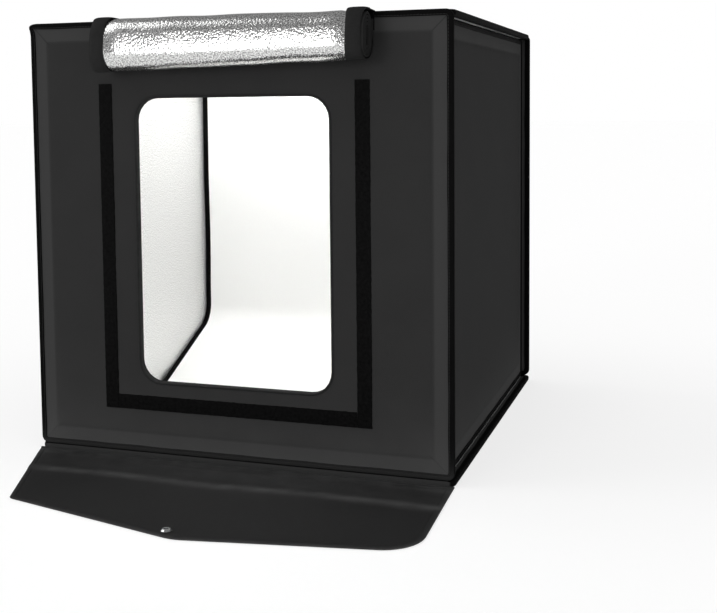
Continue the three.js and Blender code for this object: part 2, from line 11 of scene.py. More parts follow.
import bpy
import numpy as np
from mathutils import Matrix, Vector
from mathutils.geometry import delaunay_2d_cdt

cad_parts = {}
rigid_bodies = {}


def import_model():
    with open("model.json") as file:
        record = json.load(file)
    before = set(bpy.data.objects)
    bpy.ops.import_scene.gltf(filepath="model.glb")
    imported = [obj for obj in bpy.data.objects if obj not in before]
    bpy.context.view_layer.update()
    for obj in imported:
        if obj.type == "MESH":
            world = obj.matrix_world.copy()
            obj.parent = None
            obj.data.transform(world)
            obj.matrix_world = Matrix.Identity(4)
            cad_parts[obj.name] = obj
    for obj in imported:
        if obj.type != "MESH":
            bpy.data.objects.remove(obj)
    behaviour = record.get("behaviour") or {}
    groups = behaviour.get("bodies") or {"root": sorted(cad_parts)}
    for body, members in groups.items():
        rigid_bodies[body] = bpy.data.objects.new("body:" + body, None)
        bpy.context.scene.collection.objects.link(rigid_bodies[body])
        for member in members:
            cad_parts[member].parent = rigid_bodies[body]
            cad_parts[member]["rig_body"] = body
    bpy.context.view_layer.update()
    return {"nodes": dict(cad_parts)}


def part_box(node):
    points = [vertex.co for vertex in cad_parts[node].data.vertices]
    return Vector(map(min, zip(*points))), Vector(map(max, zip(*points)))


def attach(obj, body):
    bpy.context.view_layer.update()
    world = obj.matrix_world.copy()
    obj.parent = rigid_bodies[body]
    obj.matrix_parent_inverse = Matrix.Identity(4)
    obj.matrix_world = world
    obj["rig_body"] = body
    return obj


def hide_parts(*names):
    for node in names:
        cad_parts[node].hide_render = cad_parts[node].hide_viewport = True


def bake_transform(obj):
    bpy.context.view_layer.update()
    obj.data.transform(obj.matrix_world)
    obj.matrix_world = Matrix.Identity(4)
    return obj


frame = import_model()
MM = 0.001

# %% [markdown]
# ## Camera
# The photograph was taken from the right of the tent and a little below its roof. A camera fitted to the
# cube's corners gives the place, the turns and the focal length, in pixels of a 717 x 613 picture. Most of the
# downward look is a tilt of the camera, and the rest is a lens shift, which keeps the uprights nearly upright.

# %% Camera from the fitted view
PHOTO_WIDTH, PHOTO_HEIGHT = 717, 613
FOCAL_PIXELS = 1138.6
OPTICAL_CENTRE = (334.3, 190.0)
CAMERA_PLACE = (609.1, -1675.7, 481.9)
CAMERA_YAW, CAMERA_PITCH, CAMERA_ROLL = -18.670, 4.213, -0.594
SENSOR_WIDTH = 36.0


def camera_axes(yaw, pitch, roll):
    """The camera's right, up and forward directions from its three turns in degrees."""
    yaw, pitch, roll = (math.radians(turn) for turn in (yaw, pitch, roll))
    level = Vector((math.sin(yaw), math.cos(yaw), 0))
    side = Vector((math.cos(yaw), -math.sin(yaw), 0))
    upright = Vector((0, 0, 1))
    forward = level * math.cos(pitch) - upright * math.sin(pitch)
    up = upright * math.cos(pitch) + level * math.sin(pitch)
    right = side * math.cos(roll) + up * math.sin(roll)
    return right, up * math.cos(roll) - side * math.sin(roll), forward


camera_data = bpy.data.cameras.new("camera")
camera_data.sensor_width = SENSOR_WIDTH
camera_data.lens = FOCAL_PIXELS * SENSOR_WIDTH / PHOTO_WIDTH
camera_data.shift_x = (PHOTO_WIDTH / 2 - OPTICAL_CENTRE[0]) / PHOTO_WIDTH
camera_data.shift_y = (OPTICAL_CENTRE[1] - PHOTO_HEIGHT / 2) / PHOTO_WIDTH
camera = bpy.data.objects.new("camera", camera_data)
bpy.context.scene.collection.objects.link(camera)
right, up, forward = camera_axes(CAMERA_YAW, CAMERA_PITCH, CAMERA_ROLL)
turned = Matrix((right, up, -forward)).transposed().to_4x4()
camera.matrix_world = Matrix.Translation(Vector(CAMERA_PLACE) * MM) @ turned
bpy.context.scene.camera = camera
print(f"camera: lens {camera_data.lens:.1f} mm, shift {camera_data.shift_x:.3f}, {camera_data.shift_y:.3f}")

# %% [markdown]
# ## Colours and nodes
# Hex values are written as they look on a screen, and Blender calculates in linear light, so one function
# turns the first into the second. A second function adds a node with its settings and links in one line, and
# the rest are short names for the nodes that every material uses.


# %% Colour and node helpers
def linear(hex_value):
    """An sRGB hex value, such as "2f2f2f", as linear RGBA."""
    parts = [int(hex_value[i:i + 2], 16) / 255 for i in (0, 2, 4)]
    return (*[c / 12.92 if c <= 0.04045 else ((c + 0.055) / 1.055) ** 2.4 for c in parts], 1.0)


def node(tree, kind, inputs=(), **settings):
    """Adds a node. Each input is a value or the socket that feeds it."""
    made = tree.nodes.new("ShaderNode" + kind)
    for setting, value in settings.items():
        setattr(made, setting, value)
    for socket, value in dict(inputs).items():
        if isinstance(value, bpy.types.NodeSocket):
            tree.links.new(value, made.inputs[socket])
        else:
            made.inputs[socket].default_value = value
    return made


def maths(tree, operation, *values):
    """What a Math node makes of one to three values."""
    return node(tree, "Math", dict(enumerate(values)), operation=operation).outputs[0]


def remap(tree, value, source=(0.0, 1.0), target=(0.0, 1.0)):
    """A value carried from one range to another, and kept inside it."""
    ends = {"From Min": source[0], "From Max": source[1], "To Min": target[0], "To Max": target[1]}
    return node(tree, "MapRange", {"Value": value, **ends}).outputs[0]


def near_line(tree, value, line, ends):
    """1 where a value is on a line, falling to 0 between two distances from it."""
    off = maths(tree, "ABSOLUTE", maths(tree, "SUBTRACT", value, line))
    return remap(tree, off, ends, (1.0, 0.0))


def mix(tree, share, first, second):
    """A share of the second colour over the first. A hex value stands for its colour."""
    first, second = (linear(tone) if isinstance(tone, str) else tone for tone in (first, second))
    return node(tree, "Mix", {0: share, 6: first, 7: second}, data_type="RGBA").outputs[2]


def noise(tree, place, size, detail, output=0, **more):
    """Noise whose features have one size, in millimetres."""
    inputs = {"Vector": place, "Scale": 1 / (size * MM), "Detail": detail, **more}
    return node(tree, "TexNoise", inputs).outputs[output]


def cloth_uv(tree):
    """The cloth's own UV map, in metres."""
    return node(tree, "UVMap", uv_map="cloth").outputs[0]


def mark(tree, name):
    """A number that the mesh carries at each of its points."""
    return node(tree, "Attribute", attribute_name=name).outputs["Fac"]


def new_material(name, roughness, metallic=0.0, specular=None):
    """A material with its tree and its Principled shader."""
    material = bpy.data.materials.new(name)
    material.use_nodes = True
    shader = material.node_tree.nodes["Principled BSDF"]
    shader.inputs["Roughness"].default_value = roughness
    shader.inputs["Metallic"].default_value = metallic
    if specular is not None:
        shader.inputs["Specular IOR Level"].default_value = specular
    return material, material.node_tree, shader


def finish(tree, shader, colour, height, strength, depth, roughness=None, invert=False):
    """Gives a shader its colour, a relief of a depth in millimetres and, where it varies, its roughness."""
    relief = {"Strength": strength, "Distance": depth * MM, "Height": height}
    tree.links.new(colour, shader.inputs["Base Color"])
    tree.links.new(node(tree, "Bump", relief, invert=invert).outputs[0], shader.inputs["Normal"])
    if roughness is not None:
        tree.links.new(roughness, shader.inputs["Roughness"])


print("mid grey #808080 is", round(linear("808080")[0], 3), "in linear light")

# %% [markdown]
# ## Light and floor
# The picture has a plain white ground. A white world and two wide, soft suns light the tent from all sides at
# a level where white cloth comes out white. A sun lights a whole floor evenly, which an area lamp wouldn't.
# The studio's ceiling is darker, which only mirrors show: it gives the silver roll its grey top.

# %% Studio light and floor
WORLD_LEVEL = 0.78
CEILING_LEVEL = 0.25
CEILING_EDGE = (-0.05, 0.14)
SUNS = {"key": ((-0.35, -1.0, 0.12), 0.9, 20), "fill": ((-1.3, -0.3, 1.2), 0.75, 40)}
SHADOW_SHARE = 0.3
FLOOR_REACH, FLOOR_DROP = 30.0, 0.0004

world = bpy.data.worlds.new("studio")
world.use_nodes = True
bpy.context.scene.world = world
tree = world.node_tree
path = node(tree, "LightPath").outputs
seen = maths(tree, "MAXIMUM", path["Is Camera Ray"], path["Is Glossy Ray"])
seen = maths(tree, "MAXIMUM", seen, path["Is Transmission Ray"])
level = remap(tree, seen, target=(WORLD_LEVEL, 1.0))
towards = node(tree, "SeparateXYZ", {0: node(tree, "TexCoord").outputs["Generated"]})
ceiling = remap(tree, towards.outputs[2], CEILING_EDGE, (1.0, CEILING_LEVEL))
mirrored = node(tree, "Mix", {0: path["Is Glossy Ray"], 2: 1.0, 3: ceiling}).outputs[0]
background = tree.nodes["Background"]
background.inputs["Color"].default_value = (1, 1, 1, 1)
tree.links.new(maths(tree, "MULTIPLY", level, mirrored), background.inputs["Strength"])
for name, (direction, strength, spread) in SUNS.items():
    lamp = bpy.data.lights.new(name, "SUN")
    lamp.energy = strength
    lamp.angle = math.radians(spread)
    holder = bpy.data.objects.new(name, lamp)
    holder.rotation_euler = Vector(direction).to_track_quat("Z", "Y").to_euler()
    bpy.context.scene.collection.objects.link(holder)

floor_paint, tree, shader = new_material("matt_white_studio_floor", 1.0, specular=0.0)
shader.inputs["Base Color"].default_value = linear("ffffff")
path = node(tree, "LightPath").outputs
clear_white = node(tree, "Emission", {"Color": linear("ffffff"), "Strength": 1.0}).outputs[0]
share = maths(tree, "MULTIPLY", path["Is Camera Ray"], 1 - SHADOW_SHARE)
paled = node(tree, "MixShader", {0: share, 1: shader.outputs[0], 2: clear_white}).outputs[0]
tree.links.new(paled, tree.nodes["Material Output"].inputs["Surface"])
floor_mesh = bpy.data.meshes.new("studio_floor")
corners = [(x * FLOOR_REACH, y * FLOOR_REACH, 0) for x, y in ((-1, -1), (1, -1), (1, 1), (-1, 1))]
floor_mesh.from_pydata(corners, [], [(0, 1, 2, 3)])
floor_mesh.materials.append(floor_paint)
floor = bpy.data.objects.new("studio_floor", floor_mesh)
floor.location.z = -FLOOR_DROP
bpy.context.scene.collection.objects.link(floor)
bpy.context.scene.view_settings.view_transform = "Standard"
print("studio:", len(SUNS), "suns and a white world")

# %% [markdown]
# ## Cloths
# The outer cloth is a coated nylon in a plain weave, matt and nearly black. A plain weave is two sets of
# threads that pass over and under each other in turn: two sine waves give the threads, and the sign of their
# product says which one is on top. Its threads are 0.4 mm apart, too fine for this picture, so they are drawn
# 1.3 mm apart. The pattern follows the cloth's own UV map, which is in metres. The margin of a boarded wall is
# pressed flatter and paler, with painted shade along its crease and its corner folds, and painted light lifts
# the shade at the foot of the upright walls.

# %% Coated nylon
NYLON_THREAD = 1.3
FIELD_EDGE, PRESSED_BLUR = 27.0, 2.5
# painted shade: how dark the crease and the corner folds are painted
CREASE_PAINTED_SHADE, MITRE_PAINTED_SHADE = 0.12, 0.35
BLOTCH, SCUFF, SLUB = 70, 30, 6


def weave(tree, uv, spacing):
    """The height of a plain weave, 0 to 1."""
    turns = node(tree, "VectorMath", {0: uv, "Scale": math.pi / (spacing * MM)}, operation="SCALE")
    across = node(tree, "SeparateXYZ", {0: turns.outputs[0]}).outputs
    warp, weft = maths(tree, "SINE", across[0]), maths(tree, "SINE", across[1])
    on_top = maths(tree, "GREATER_THAN", maths(tree, "MULTIPLY", warp, weft), 0.0)
    warp, weft = maths(tree, "ABSOLUTE", warp), maths(tree, "ABSOLUTE", weft)
    return node(tree, "Mix", {0: on_top, 2: warp, 3: weft}).outputs[0]


def pressed_margin(tree, colour, border, blotches):
    """A boarded wall's margin: paler, with painted shade along its crease and corner folds and painted light at
    its foot.
    """
    inset = mark(tree, "inset")
    pressed = remap(tree, inset, (FIELD_EDGE - PRESSED_BLUR, FIELD_EDGE + PRESSED_BLUR), (1.0, 0.0))
    # painted shade along the stitched crease and along the mitre fold at each corner
    crease = near_line(tree, inset, FIELD_EDGE, (0.4, 3.2))
    fold = maths(tree, "MULTIPLY", remap(tree, mark(tree, "mitre"), (0.3, 1.8), (1.0, 0.0)), pressed)
    painted_shades = maths(tree, "MULTIPLY", crease, CREASE_PAINTED_SHADE), maths(tree, "MULTIPLY", fold, MITRE_PAINTED_SHADE)
    # painted light: the foot of an upright wall is painted paler, lifting the shade there
    foot_lit = maths(tree, "MULTIPLY", remap(tree, blotches, (0.3, 0.7), (0.8, 1.0)), mark(tree, "dust"))
    colour = mix(tree, pressed, colour, border)
    colour = mix(tree, maths(tree, "MAXIMUM", *painted_shades), colour, "060606")
    return mix(tree, foot_lit, colour, "505050")


def coated_nylon(name, field, light, border=None, rubbed_and_lit=None):
    """Black coated nylon. A border colour adds the margin of a boarded wall, and a second colour adds wear and
    painted light.
    """
    material, tree, shader = new_material(name, 0.78, specular=0.02)
    uv = cloth_uv(tree)
    blotches = noise(tree, uv, BLOTCH, 4.0)
    colour = mix(tree, blotches, field, light)
    if border:
        colour = pressed_margin(tree, colour, border, blotches)
    if rubbed_and_lit:
        patchy = remap(tree, noise(tree, uv, SCUFF, 2.0), (0.3, 0.65), (0.45, 1.0))
        # wear and painted light: a painted highlight on the flap's crease, painted light at its root and spine,
        # wear and a painted highlight on its edges
        colour = mix(tree, maths(tree, "MULTIPLY", mark(tree, "wear"), patchy), colour, rubbed_and_lit)
    threads = weave(tree, uv, NYLON_THREAD)
    colour = mix(tree, remap(tree, threads, (0.0, 0.35), (0.35, 0.0)), colour, "080808")
    relief = maths(tree, "MULTIPLY_ADD", noise(tree, uv, SLUB, 3.0), 0.5, threads)
    finish(tree, shader, colour, relief, 0.35, 0.25, remap(tree, blotches, target=(0.7, 0.88)))
    return material


boarded_nylon = coated_nylon("coated_nylon_boarded", "2a2a2a", "2f2f2f", border="383838")
# the lighter colour paints the flap's wear, its painted highlight and its painted light
soft_nylon = coated_nylon("coated_nylon_soft", "252525", "2a2a2a", rubbed_and_lit="484848")
print("cloths:", boarded_nylon.name, "and", soft_nylon.name)

# %% [markdown]
# The inner cloth is a polyester film with an aluminium coat, embossed with small pebbles so that it scatters
# light. The pebbles are 2 to 3 mm wide. A Voronoi pattern gives their rounded tops, and a fine noise breaks
# them up; the low spots of that noise are painted darker, as painted shade in the hollow between pebbles.

# %% Embossed silver film
PEBBLE, SPECKLE = 2.6, 2.0
WARP_SIZE, WARP_REACH = 5, 0.0012


def silver_film(name, roughness, relief, metallic, hollow_shade):
    """Aluminised film over cloth, with an embossed pebble grain."""
    material, tree, shader = new_material(name, roughness, metallic)
    uv = cloth_uv(tree)
    warp = noise(tree, uv, WARP_SIZE, 2.0, output="Color")
    bent = node(tree, "VectorMath", {0: warp, 1: (WARP_REACH, WARP_REACH, 0), 2: uv}, operation="MULTIPLY_ADD")
    pebbles = node(tree, "TexVoronoi", {
        "Vector": bent.outputs[0], "Scale": 1 / (PEBBLE * MM), "Smoothness": 0.6}, feature="SMOOTH_F1")
    fine = noise(tree, uv, SPECKLE, 2.0, Roughness=0.6)
    height = maths(tree, "MULTIPLY_ADD", fine, 0.35, pebbles.outputs["Distance"])
    # painted shade: the fine noise's low spots are painted darker
    colour = mix(tree, remap(tree, fine, (0.38, 0.6)), hollow_shade, "f4f4f3")
    finish(tree, shader, colour, height, relief, 0.5, invert=True)
    return material


roll_film = silver_film("aluminised_film_rolled", 0.2, 0.65, 0.94, "909090")
wall_film = silver_film("aluminised_film_stretched", 0.5, 0.3, 0.75, "c8c8c7")
print("film pebbles:", PEBBLE, "mm")

# %% [markdown]
# ## Tapes
# The walls are bound with a ribbed polyester tape, sewn down by one line of stitches along its free edge. The
# ribs are 1.4 mm apart here, a little coarser than the real 0.8 mm. The UV map runs along the tape in U and
# across it in V, so ribs and stitches follow every corner. The webbing of the straps is ribbed more coarsely.

# %% Ribbed binding tape and webbing
RIB, WEBBING_RIB = 1.4, 2.0
STITCH_LINE, STITCH_PITCH, STITCH_SHARE = 2.4, 4.2, 0.68
STITCH_EDGE, TAPE_WEAR = (0.3, 0.6), 9


def ribbed_tape(name, dark, light, rib, stitch_lines=(), shine=0.04):
    """A woven tape with ribs across it and stitches at some distances from its edge, in millimetres."""
    material, tree, shader = new_material(name, 0.8, specular=shine)
    uv = cloth_uv(tree)
    place = node(tree, "SeparateXYZ", {0: uv}).outputs
    ribs = maths(tree, "SINE", maths(tree, "MULTIPLY", place[0], math.tau / (rib * MM)))
    wear = noise(tree, uv, TAPE_WEAR, 4.0)
    # painted light: tapes at the foot of the front are painted paler, lifting the shade there
    colour = mix(tree, mark(tree, "dust"), mix(tree, wear, dark, light), "383838")
    relief = maths(tree, "MULTIPLY_ADD", ribs, 0.5, wear)
    for line in stitch_lines:
        near = near_line(tree, place[1], line * MM, [end * MM for end in STITCH_EDGE])
        share = maths(tree, "FRACT", maths(tree, "MULTIPLY", place[0], 1 / (STITCH_PITCH * MM)))
        thread = maths(tree, "MULTIPLY", near, maths(tree, "LESS_THAN", share, STITCH_SHARE))
        colour = mix(tree, thread, colour, "2c2c2c")
        relief = maths(tree, "MULTIPLY_ADD", thread, 1.5, relief)
    finish(tree, shader, colour, relief, 0.5, 0.25)
    return material


binding_tape = ribbed_tape("ribbed_polyester_binding", "050505", "0c0c0c", RIB, stitch_lines=(STITCH_LINE,))
rim_tape = ribbed_tape("ribbed_polyester_rim", "222222", "2b2b2b", RIB)
webbing = ribbed_tape("polyester_webbing", "080808", "141414", WEBBING_RIB, shine=0.3)
print("tapes:", binding_tape.name, "and", webbing.name)

# %% [markdown]
# Hook-and-loop tape is a mat of small nylon loops. It takes nearly all light, so it is the darkest thing on
# the tent. Noise at two sizes gives its fuzz: single loops of about 1 mm and tufts of about 4 mm.

# %% Loop pile
LOOP, TUFT = 1.2, 4.0
loop_pile, tree, shader = new_material("nylon_loop_pile", 0.95, specular=0.08)
uv = cloth_uv(tree)
fuzz = maths(tree, "ADD", noise(tree, uv, LOOP, 3.0, Roughness=0.7), noise(tree, uv, TUFT, 2.0))
finish(tree, shader, mix(tree, remap(tree, fuzz, (0.75, 1.25)), "030303", "0e0e0e"), fuzz, 0.8, 0.6)
print("loop pile:", LOOP, "and", TUFT, "mm")

# %% [markdown]
# The backdrop is a sheet of matt white PVC. It has a faint calendered grain, left by the rollers that pressed
# it, and it is white enough to lose its own curve in the light of the bars.

# %% White PVC sheet
PVC_GRAIN = 1.5
white_pvc, tree, shader = new_material("calendered_white_pvc", 0.55)
grain = noise(tree, cloth_uv(tree), PVC_GRAIN, 2.0)
finish(tree, shader, mix(tree, grain, "f0f0ee", "f8f8f7"), grain, 0.1, 0.1)
print("sheet:", white_pvc.name)

# %% [markdown]
# ## Rigid parts
# These keep their CAD shapes, which have no UV map, so their patterns use object coordinates in metres. The
# bars are extruded and then brushed along their length, so the noise is drawn out along X. The snap is brass
# under nickel. The diffuser is milky polycarbonate with the light on behind it, which lights the tent inside.

# %% Metals, plastics and board
LED_LEVEL = 36.0


def grained(name, colours, roughness, size, metallic=0.0, strength=0.2, stretch=1.0, spread=0.08):
    """A moulded, brushed or pressed surface: noise of one grain size in colour, gloss and relief."""
    material, tree, shader = new_material(name, roughness, metallic)
    place = node(tree, "TexCoord").outputs["Object"]
    place = node(tree, "Mapping", {"Vector": place, "Scale": (1 / stretch, 1, 1)}).outputs[0]
    grain = noise(tree, place, size, 4.0)
    gloss = remap(tree, grain, target=(roughness - spread, roughness + spread))
    finish(tree, shader, mix(tree, grain, *colours), grain, strength, 0.1, gloss)
    return material


brushed_aluminium = grained("brushed_anodised_aluminium", ("a9acb0", "c9ccd0"), 0.36, 0.5, 1.0, stretch=40)
nickel = grained("nickel_plated_brass", ("b9bbbd", "d9dadb"), 0.18, 0.8, 1.0, strength=0.1)
black_abs = grained("moulded_black_abs", ("111111", "1d1d1d"), 0.45, 0.6)
grey_board = grained("pressed_grey_board", ("b9b3a6", "d8d4ca"), 0.85, 1.5)
led_board = grained("solder_masked_led_board", ("e8e8e2", "f6f6f2"), 0.4, 1.0)
milky_diffuser = grained("milky_polycarbonate", ("f2f2ec", "fbfbf8"), 0.35, 1.0)
shader = milky_diffuser.node_tree.nodes["Principled BSDF"]
shader.inputs["Emission Color"].default_value = linear("ffffff")
shader.inputs["Emission Strength"].default_value = LED_LEVEL

RIGID_FINISHES = {
    "_board": (grey_board, "stiffener_board"),
    "snap_": (nickel, "snap_metal"),
    "_channel": (brushed_aluminium, "bar_metal"),
    "_led_strip": (led_board, "led_board"),
    "_diffuser": (milky_diffuser, "diffuser_plastic"),
    "_end_cap": (black_abs, "black_plastic"),
}
dressed = 0
for name, cad_node in frame["nodes"].items():
    for part_of_name, (material, slot) in RIGID_FINISHES.items():
        if part_of_name in name:
            cad_node.data.materials.clear()
            cad_node.data.materials.append(material)
            dressed += 1
print("rigid nodes with a finish:", dressed)

# %% [markdown]
# ## Lines, noise and outlines
# All sizes from here on are millimetres, and objects are scaled to metres when they are made. Cloth is never
# quite even, so most heights below get some smooth noise: a sum of a few waves in random directions. The seed
# is written at each use, so every run draws the same waves.

# %% Noise and outlines
WAVES, WAVES_SPAN, WAVE_SPREAD = 7, 3.2, (0.7, 1.5)
CORNER_STEPS = 6
TINY = 1e-12


def box_mm(node_name):
    """The low and high corners of a CAD node's box, in millimetres."""
    return [np.array(corner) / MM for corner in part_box(node_name)]


def smooth_noise(points, wavelength, seed):
    """A smooth random height, about -1 to 1, as a sum of waves in random directions."""
    draws = np.random.default_rng(seed)
    total = np.zeros(len(points))
    for _ in range(WAVES):
        direction = draws.normal(size=points.shape[1])
        direction *= math.tau / (wavelength * draws.uniform(*WAVE_SPREAD) * np.linalg.norm(direction))
        total += np.cos(points @ direction + draws.uniform(0, math.tau))
    return total / WAVES_SPAN


def line_noise(places, wavelength, seed):
    """Smooth noise along one line."""
    return smooth_noise(np.column_stack([places, 0 * places]), wavelength, seed)


def run_along(points, closed=False):
    """How far along a line each of its points is. A closed line ends with its whole length."""
    steps = np.roll(points, -1, 0) - points if closed else np.diff(points, axis=0)
    return np.concatenate([[0], np.cumsum(np.linalg.norm(steps, axis=1))])


def outline(half_u, half_v, radius, spacing, centre_v=0.0):
    """Points round a rounded rectangle, anticlockwise, their outward normals and the middle of each corner."""
    points, normals, middles = [], [], []
    for quarter, (sign_u, sign_v) in enumerate([(1, 1), (-1, 1), (-1, -1), (1, -1)]):
        for step in range(CORNER_STEPS + 1):
            angle = (quarter + step / CORNER_STEPS) * math.pi / 2
            normal = (math.cos(angle), math.sin(angle))
            if step == CORNER_STEPS // 2:
                middles.append(len(points))
            points.append((sign_u * (half_u - radius) + radius * normal[0],
                           centre_v + sign_v * (half_v - radius) + radius * normal[1]))
            normals.append(normal)
        straight = 2 * (half_u if quarter % 2 == 0 else half_v) - 2 * radius
        steps = max(1, round(straight / spacing))
        start = points[-1]
        for step in range(1, steps):
            points.append((start[0] - normal[1] * straight * step / steps,
                           start[1] + normal[0] * straight * step / steps))
            normals.append(normal)
    return np.array(points), np.array(normals), middles


def distance_inside(points, half_u, half_v, radius, centre_v=0.0):
    """How far each point is inside a rounded rectangle's edge."""
    over_u = np.abs(points[:, 0]) - (half_u - radius)
    over_v = np.abs(points[:, 1] - centre_v) - (half_v - radius)
    outside = np.hypot(np.maximum(over_u, 0), np.maximum(over_v, 0))
    return radius - outside - np.minimum(np.maximum(over_u, over_v), 0)


print("noise at the origin:", smooth_noise(np.zeros((1, 2)), 100, 1).round(3))

# %% [markdown]
# ## Building cloth as meshes
# Two shapes make nearly all the cloth here. A panel is a flat outline, filled with triangles by constrained
# Delaunay triangulation so that its seams fall on mesh edges, and then lifted to a height at each point. A
# band is a cross-section carried along a line. Both are closed bodies with the cloth's own thickness, and both
# carry a UV map in metres.

# %% Panels and bands
MERGE_WITHIN = 1e-5
# painted light on tapes at the foot of the front: its share, the height it starts at and how fast it fades
FOOT_TAPE_LIGHT, FOOT_HEIGHT, FOOT_LIGHT_FALL, FRONT_Y = 0.85, 4, 14, -299


def make_object(name, points, faces, uvs, materials, attributes, face_materials, sharp=38):
    """A smooth-shaded mesh object. Points and UVs are in millimetres, and each face corner has its own UV."""
    mesh = bpy.data.meshes.new(name)
    mesh.from_pydata((np.asarray(points) * MM).tolist(), [], faces)
    mesh.uv_layers.new(name="cloth").data.foreach_set("uv", (np.asarray(uvs) * MM).ravel())
    for key, values in dict(attributes).items():
        mesh.attributes.new(key, "FLOAT", "POINT").data.foreach_set("value", np.asarray(values, np.float32))
    for material in materials:
        mesh.materials.append(material)
    mesh.polygons.foreach_set("material_index", face_materials)
    mesh.polygons.foreach_set("use_smooth", [True] * len(mesh.polygons))
    mesh.set_sharp_from_angle(angle=math.radians(sharp))
    mesh.validate()
    made = bpy.data.objects.new(name, mesh)
    bpy.context.scene.collection.objects.link(made)
    return made


def triangulate(rings, extra_edges, loose, keep):
    """Triangles over 2-D points. Rings are closed lines of mesh edges, and keep picks triangles by centre."""
    points, edges = [], list(extra_edges)
    for ring in rings:
        first = len(points)
        points += list(ring)
        edges += [(first + i, first + (i + 1) % len(ring)) for i in range(len(ring))]
    made = delaunay_2d_cdt([Vector(p) for p in points + list(loose)], edges, [], 0, MERGE_WITHIN)
    flat = np.array([tuple(p) for p in made[0]])
    triangles = np.array(made[2])
    triangles = triangles[keep(flat[triangles].mean(axis=1))]
    used = np.unique(triangles)
    renumber = np.full(len(flat), -1)
    renumber[used] = np.arange(len(used))
    return flat[used], renumber[triangles]


def closed_panel(name, flat, triangles, top, bottom, place, materials, attributes=(), second=None):
    """A cloth body between two heights over flat triangles. Second says which of them get material 1."""
    count = len(flat)
    points = np.vstack([place(flat, top), place(flat, bottom)])
    upper = [tuple(t) for t in triangles.tolist()]
    sides = {(t[i], t[(i + 1) % 3]): True for t in upper for i in range(3)}
    rim = [(start, end) for start, end in sides if (end, start) not in sides]
    faces = upper + [(c + count, b + count, a + count) for a, b, c in upper]
    faces += [(end, start, start + count, end + count) for start, end in rim]
    doubled = np.vstack([flat, flat])
    uvs = doubled[[i for face in faces for i in face]]
    both = {key: np.concatenate([values, values]) for key, values in dict(attributes).items()}
    marked = np.zeros(len(triangles), int) if second is None else second.astype(int)
    marks = [*marked, *marked, *([int(marked.max())] * len(rim))]
    return make_object(name, points, faces, uvs, materials, both, marks)


def front_foot_light(points):
    """The share of painted light on tapes at the foot of the tent's front, lifting the shade beside the flap."""
    above = np.maximum(points[..., 2] - FOOT_HEIGHT, 0)
    return FOOT_TAPE_LIGHT * np.exp(-above / FOOT_LIGHT_FALL) * (points[..., 1] < FRONT_Y)


def band(name, rings, materials, loop=False, along=None, face_material=None, sharp=38, dust=None):
    """A body from a row of closed sections with as many points each. Its ends are capped unless it is a loop."""
    rings = np.asarray(rings, float)
    # painted light at the foot, carried as a mark on the mesh
    attributes = {"dust": dust(rings).ravel()} if dust else ()
    stations, around = rings.shape[:2]
    v = run_along(rings[0], closed=True)
    steps = np.linalg.norm(np.roll(rings, -1, 0) - rings, axis=2).mean(axis=1)
    u = np.concatenate([[0], np.cumsum(steps)]) if along is None else along
    faces, uvs, spots = [], [], []
    for s in range(stations if loop else stations - 1):
        here, ahead = s * around, (s + 1) % stations * around
        for k in range(around):
            j = (k + 1) % around
            faces.append((here + k, here + j, ahead + j, ahead + k))
            uvs.append([(u[s], v[k]), (u[s], v[k + 1]), (u[s + 1], v[k + 1]), (u[s + 1], v[k])])
            spots.append((s, k))
    if not loop:
        for s, order in ((0, range(around - 1, -1, -1)), (stations - 1, range(around))):
            faces.append(tuple(s * around + k for k in order))
            uvs.append([(u[s] + 0.3 * (k % 2), v[k]) for k in order])
            spots.append((s, -1))
    points = rings.reshape(-1, 3)
    volume = 0.0
    for face in faces:
        p, q, r, t = points[list(face[:4])]
        volume += p @ np.cross(q, r) + p @ np.cross(r, t)
    way = -1 if volume < 0 else 1
    faces, uvs = [face[::way] for face in faces], [corner for face in uvs for corner in face[::way]]
    marks = [face_material(*spot) if face_material else 0 for spot in spots]
    return make_object(name, points, faces, uvs, materials, attributes, marks, sharp)


def sewn_tape(name, ends, count, section, lift, dust=None):
    """A tape along X whose parts over some height lift a little. Lift is (size, wavelength, seed, height)."""
    stations = np.linspace(*ends, count)
    size, wavelength, seed, above = lift
    rises = size * line_noise(stations, wavelength, seed)
    rings = [[(x, y, z + rise * (z > above)) for y, z in section] for x, rise in zip(stations, rises)]
    return band(name, rings, [binding_tape], dust=dust)


def dress(piece, *nodes, slot):
    """The piece stands for these CAD nodes, rides on their body and hides them. The slot is not used."""
    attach(piece, frame["nodes"][nodes[0]]["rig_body"])
    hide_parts(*nodes)


print("dust at a foot of the front:", front_foot_light(np.array([0, FRONT_Y - 1, 0])))

# %% [markdown]
# ## Walls
# Each wall's cloths are sewn together round the board, so the field stands a little proud, a stitched crease
# runs round it, and the margin slopes to the binding. First come the planes of the six walls, which the frame
# gives: their bindings are as large as they are.

# %% Wall planes, from the frame
WALLS = {
    "base": ((1, 0, 0), (0, -1, 0), (0, 0, -1)),
    "front": ((1, 0, 0), (0, 0, 1), (0, -1, 0)),
    "back": ((-1, 0, 0), (0, 0, 1), (0, 1, 0)),
    "right": ((0, 1, 0), (0, 0, 1), (1, 0, 0)),
    "left": ((0, -1, 0), (0, 0, 1), (-1, 0, 0)),
    "roof": ((1, 0, 0), (0, 1, 0), (0, 0, 1)),
}
OPENINGS = {"front": "window_rim", "roof": "hatch_rim"}
OPENING_CORNERS = {"front": 30.0, "roof": 20.0}
CORNER = 10.0
RIM_LAP, RIM_CLOTH = 3.0, 1.2


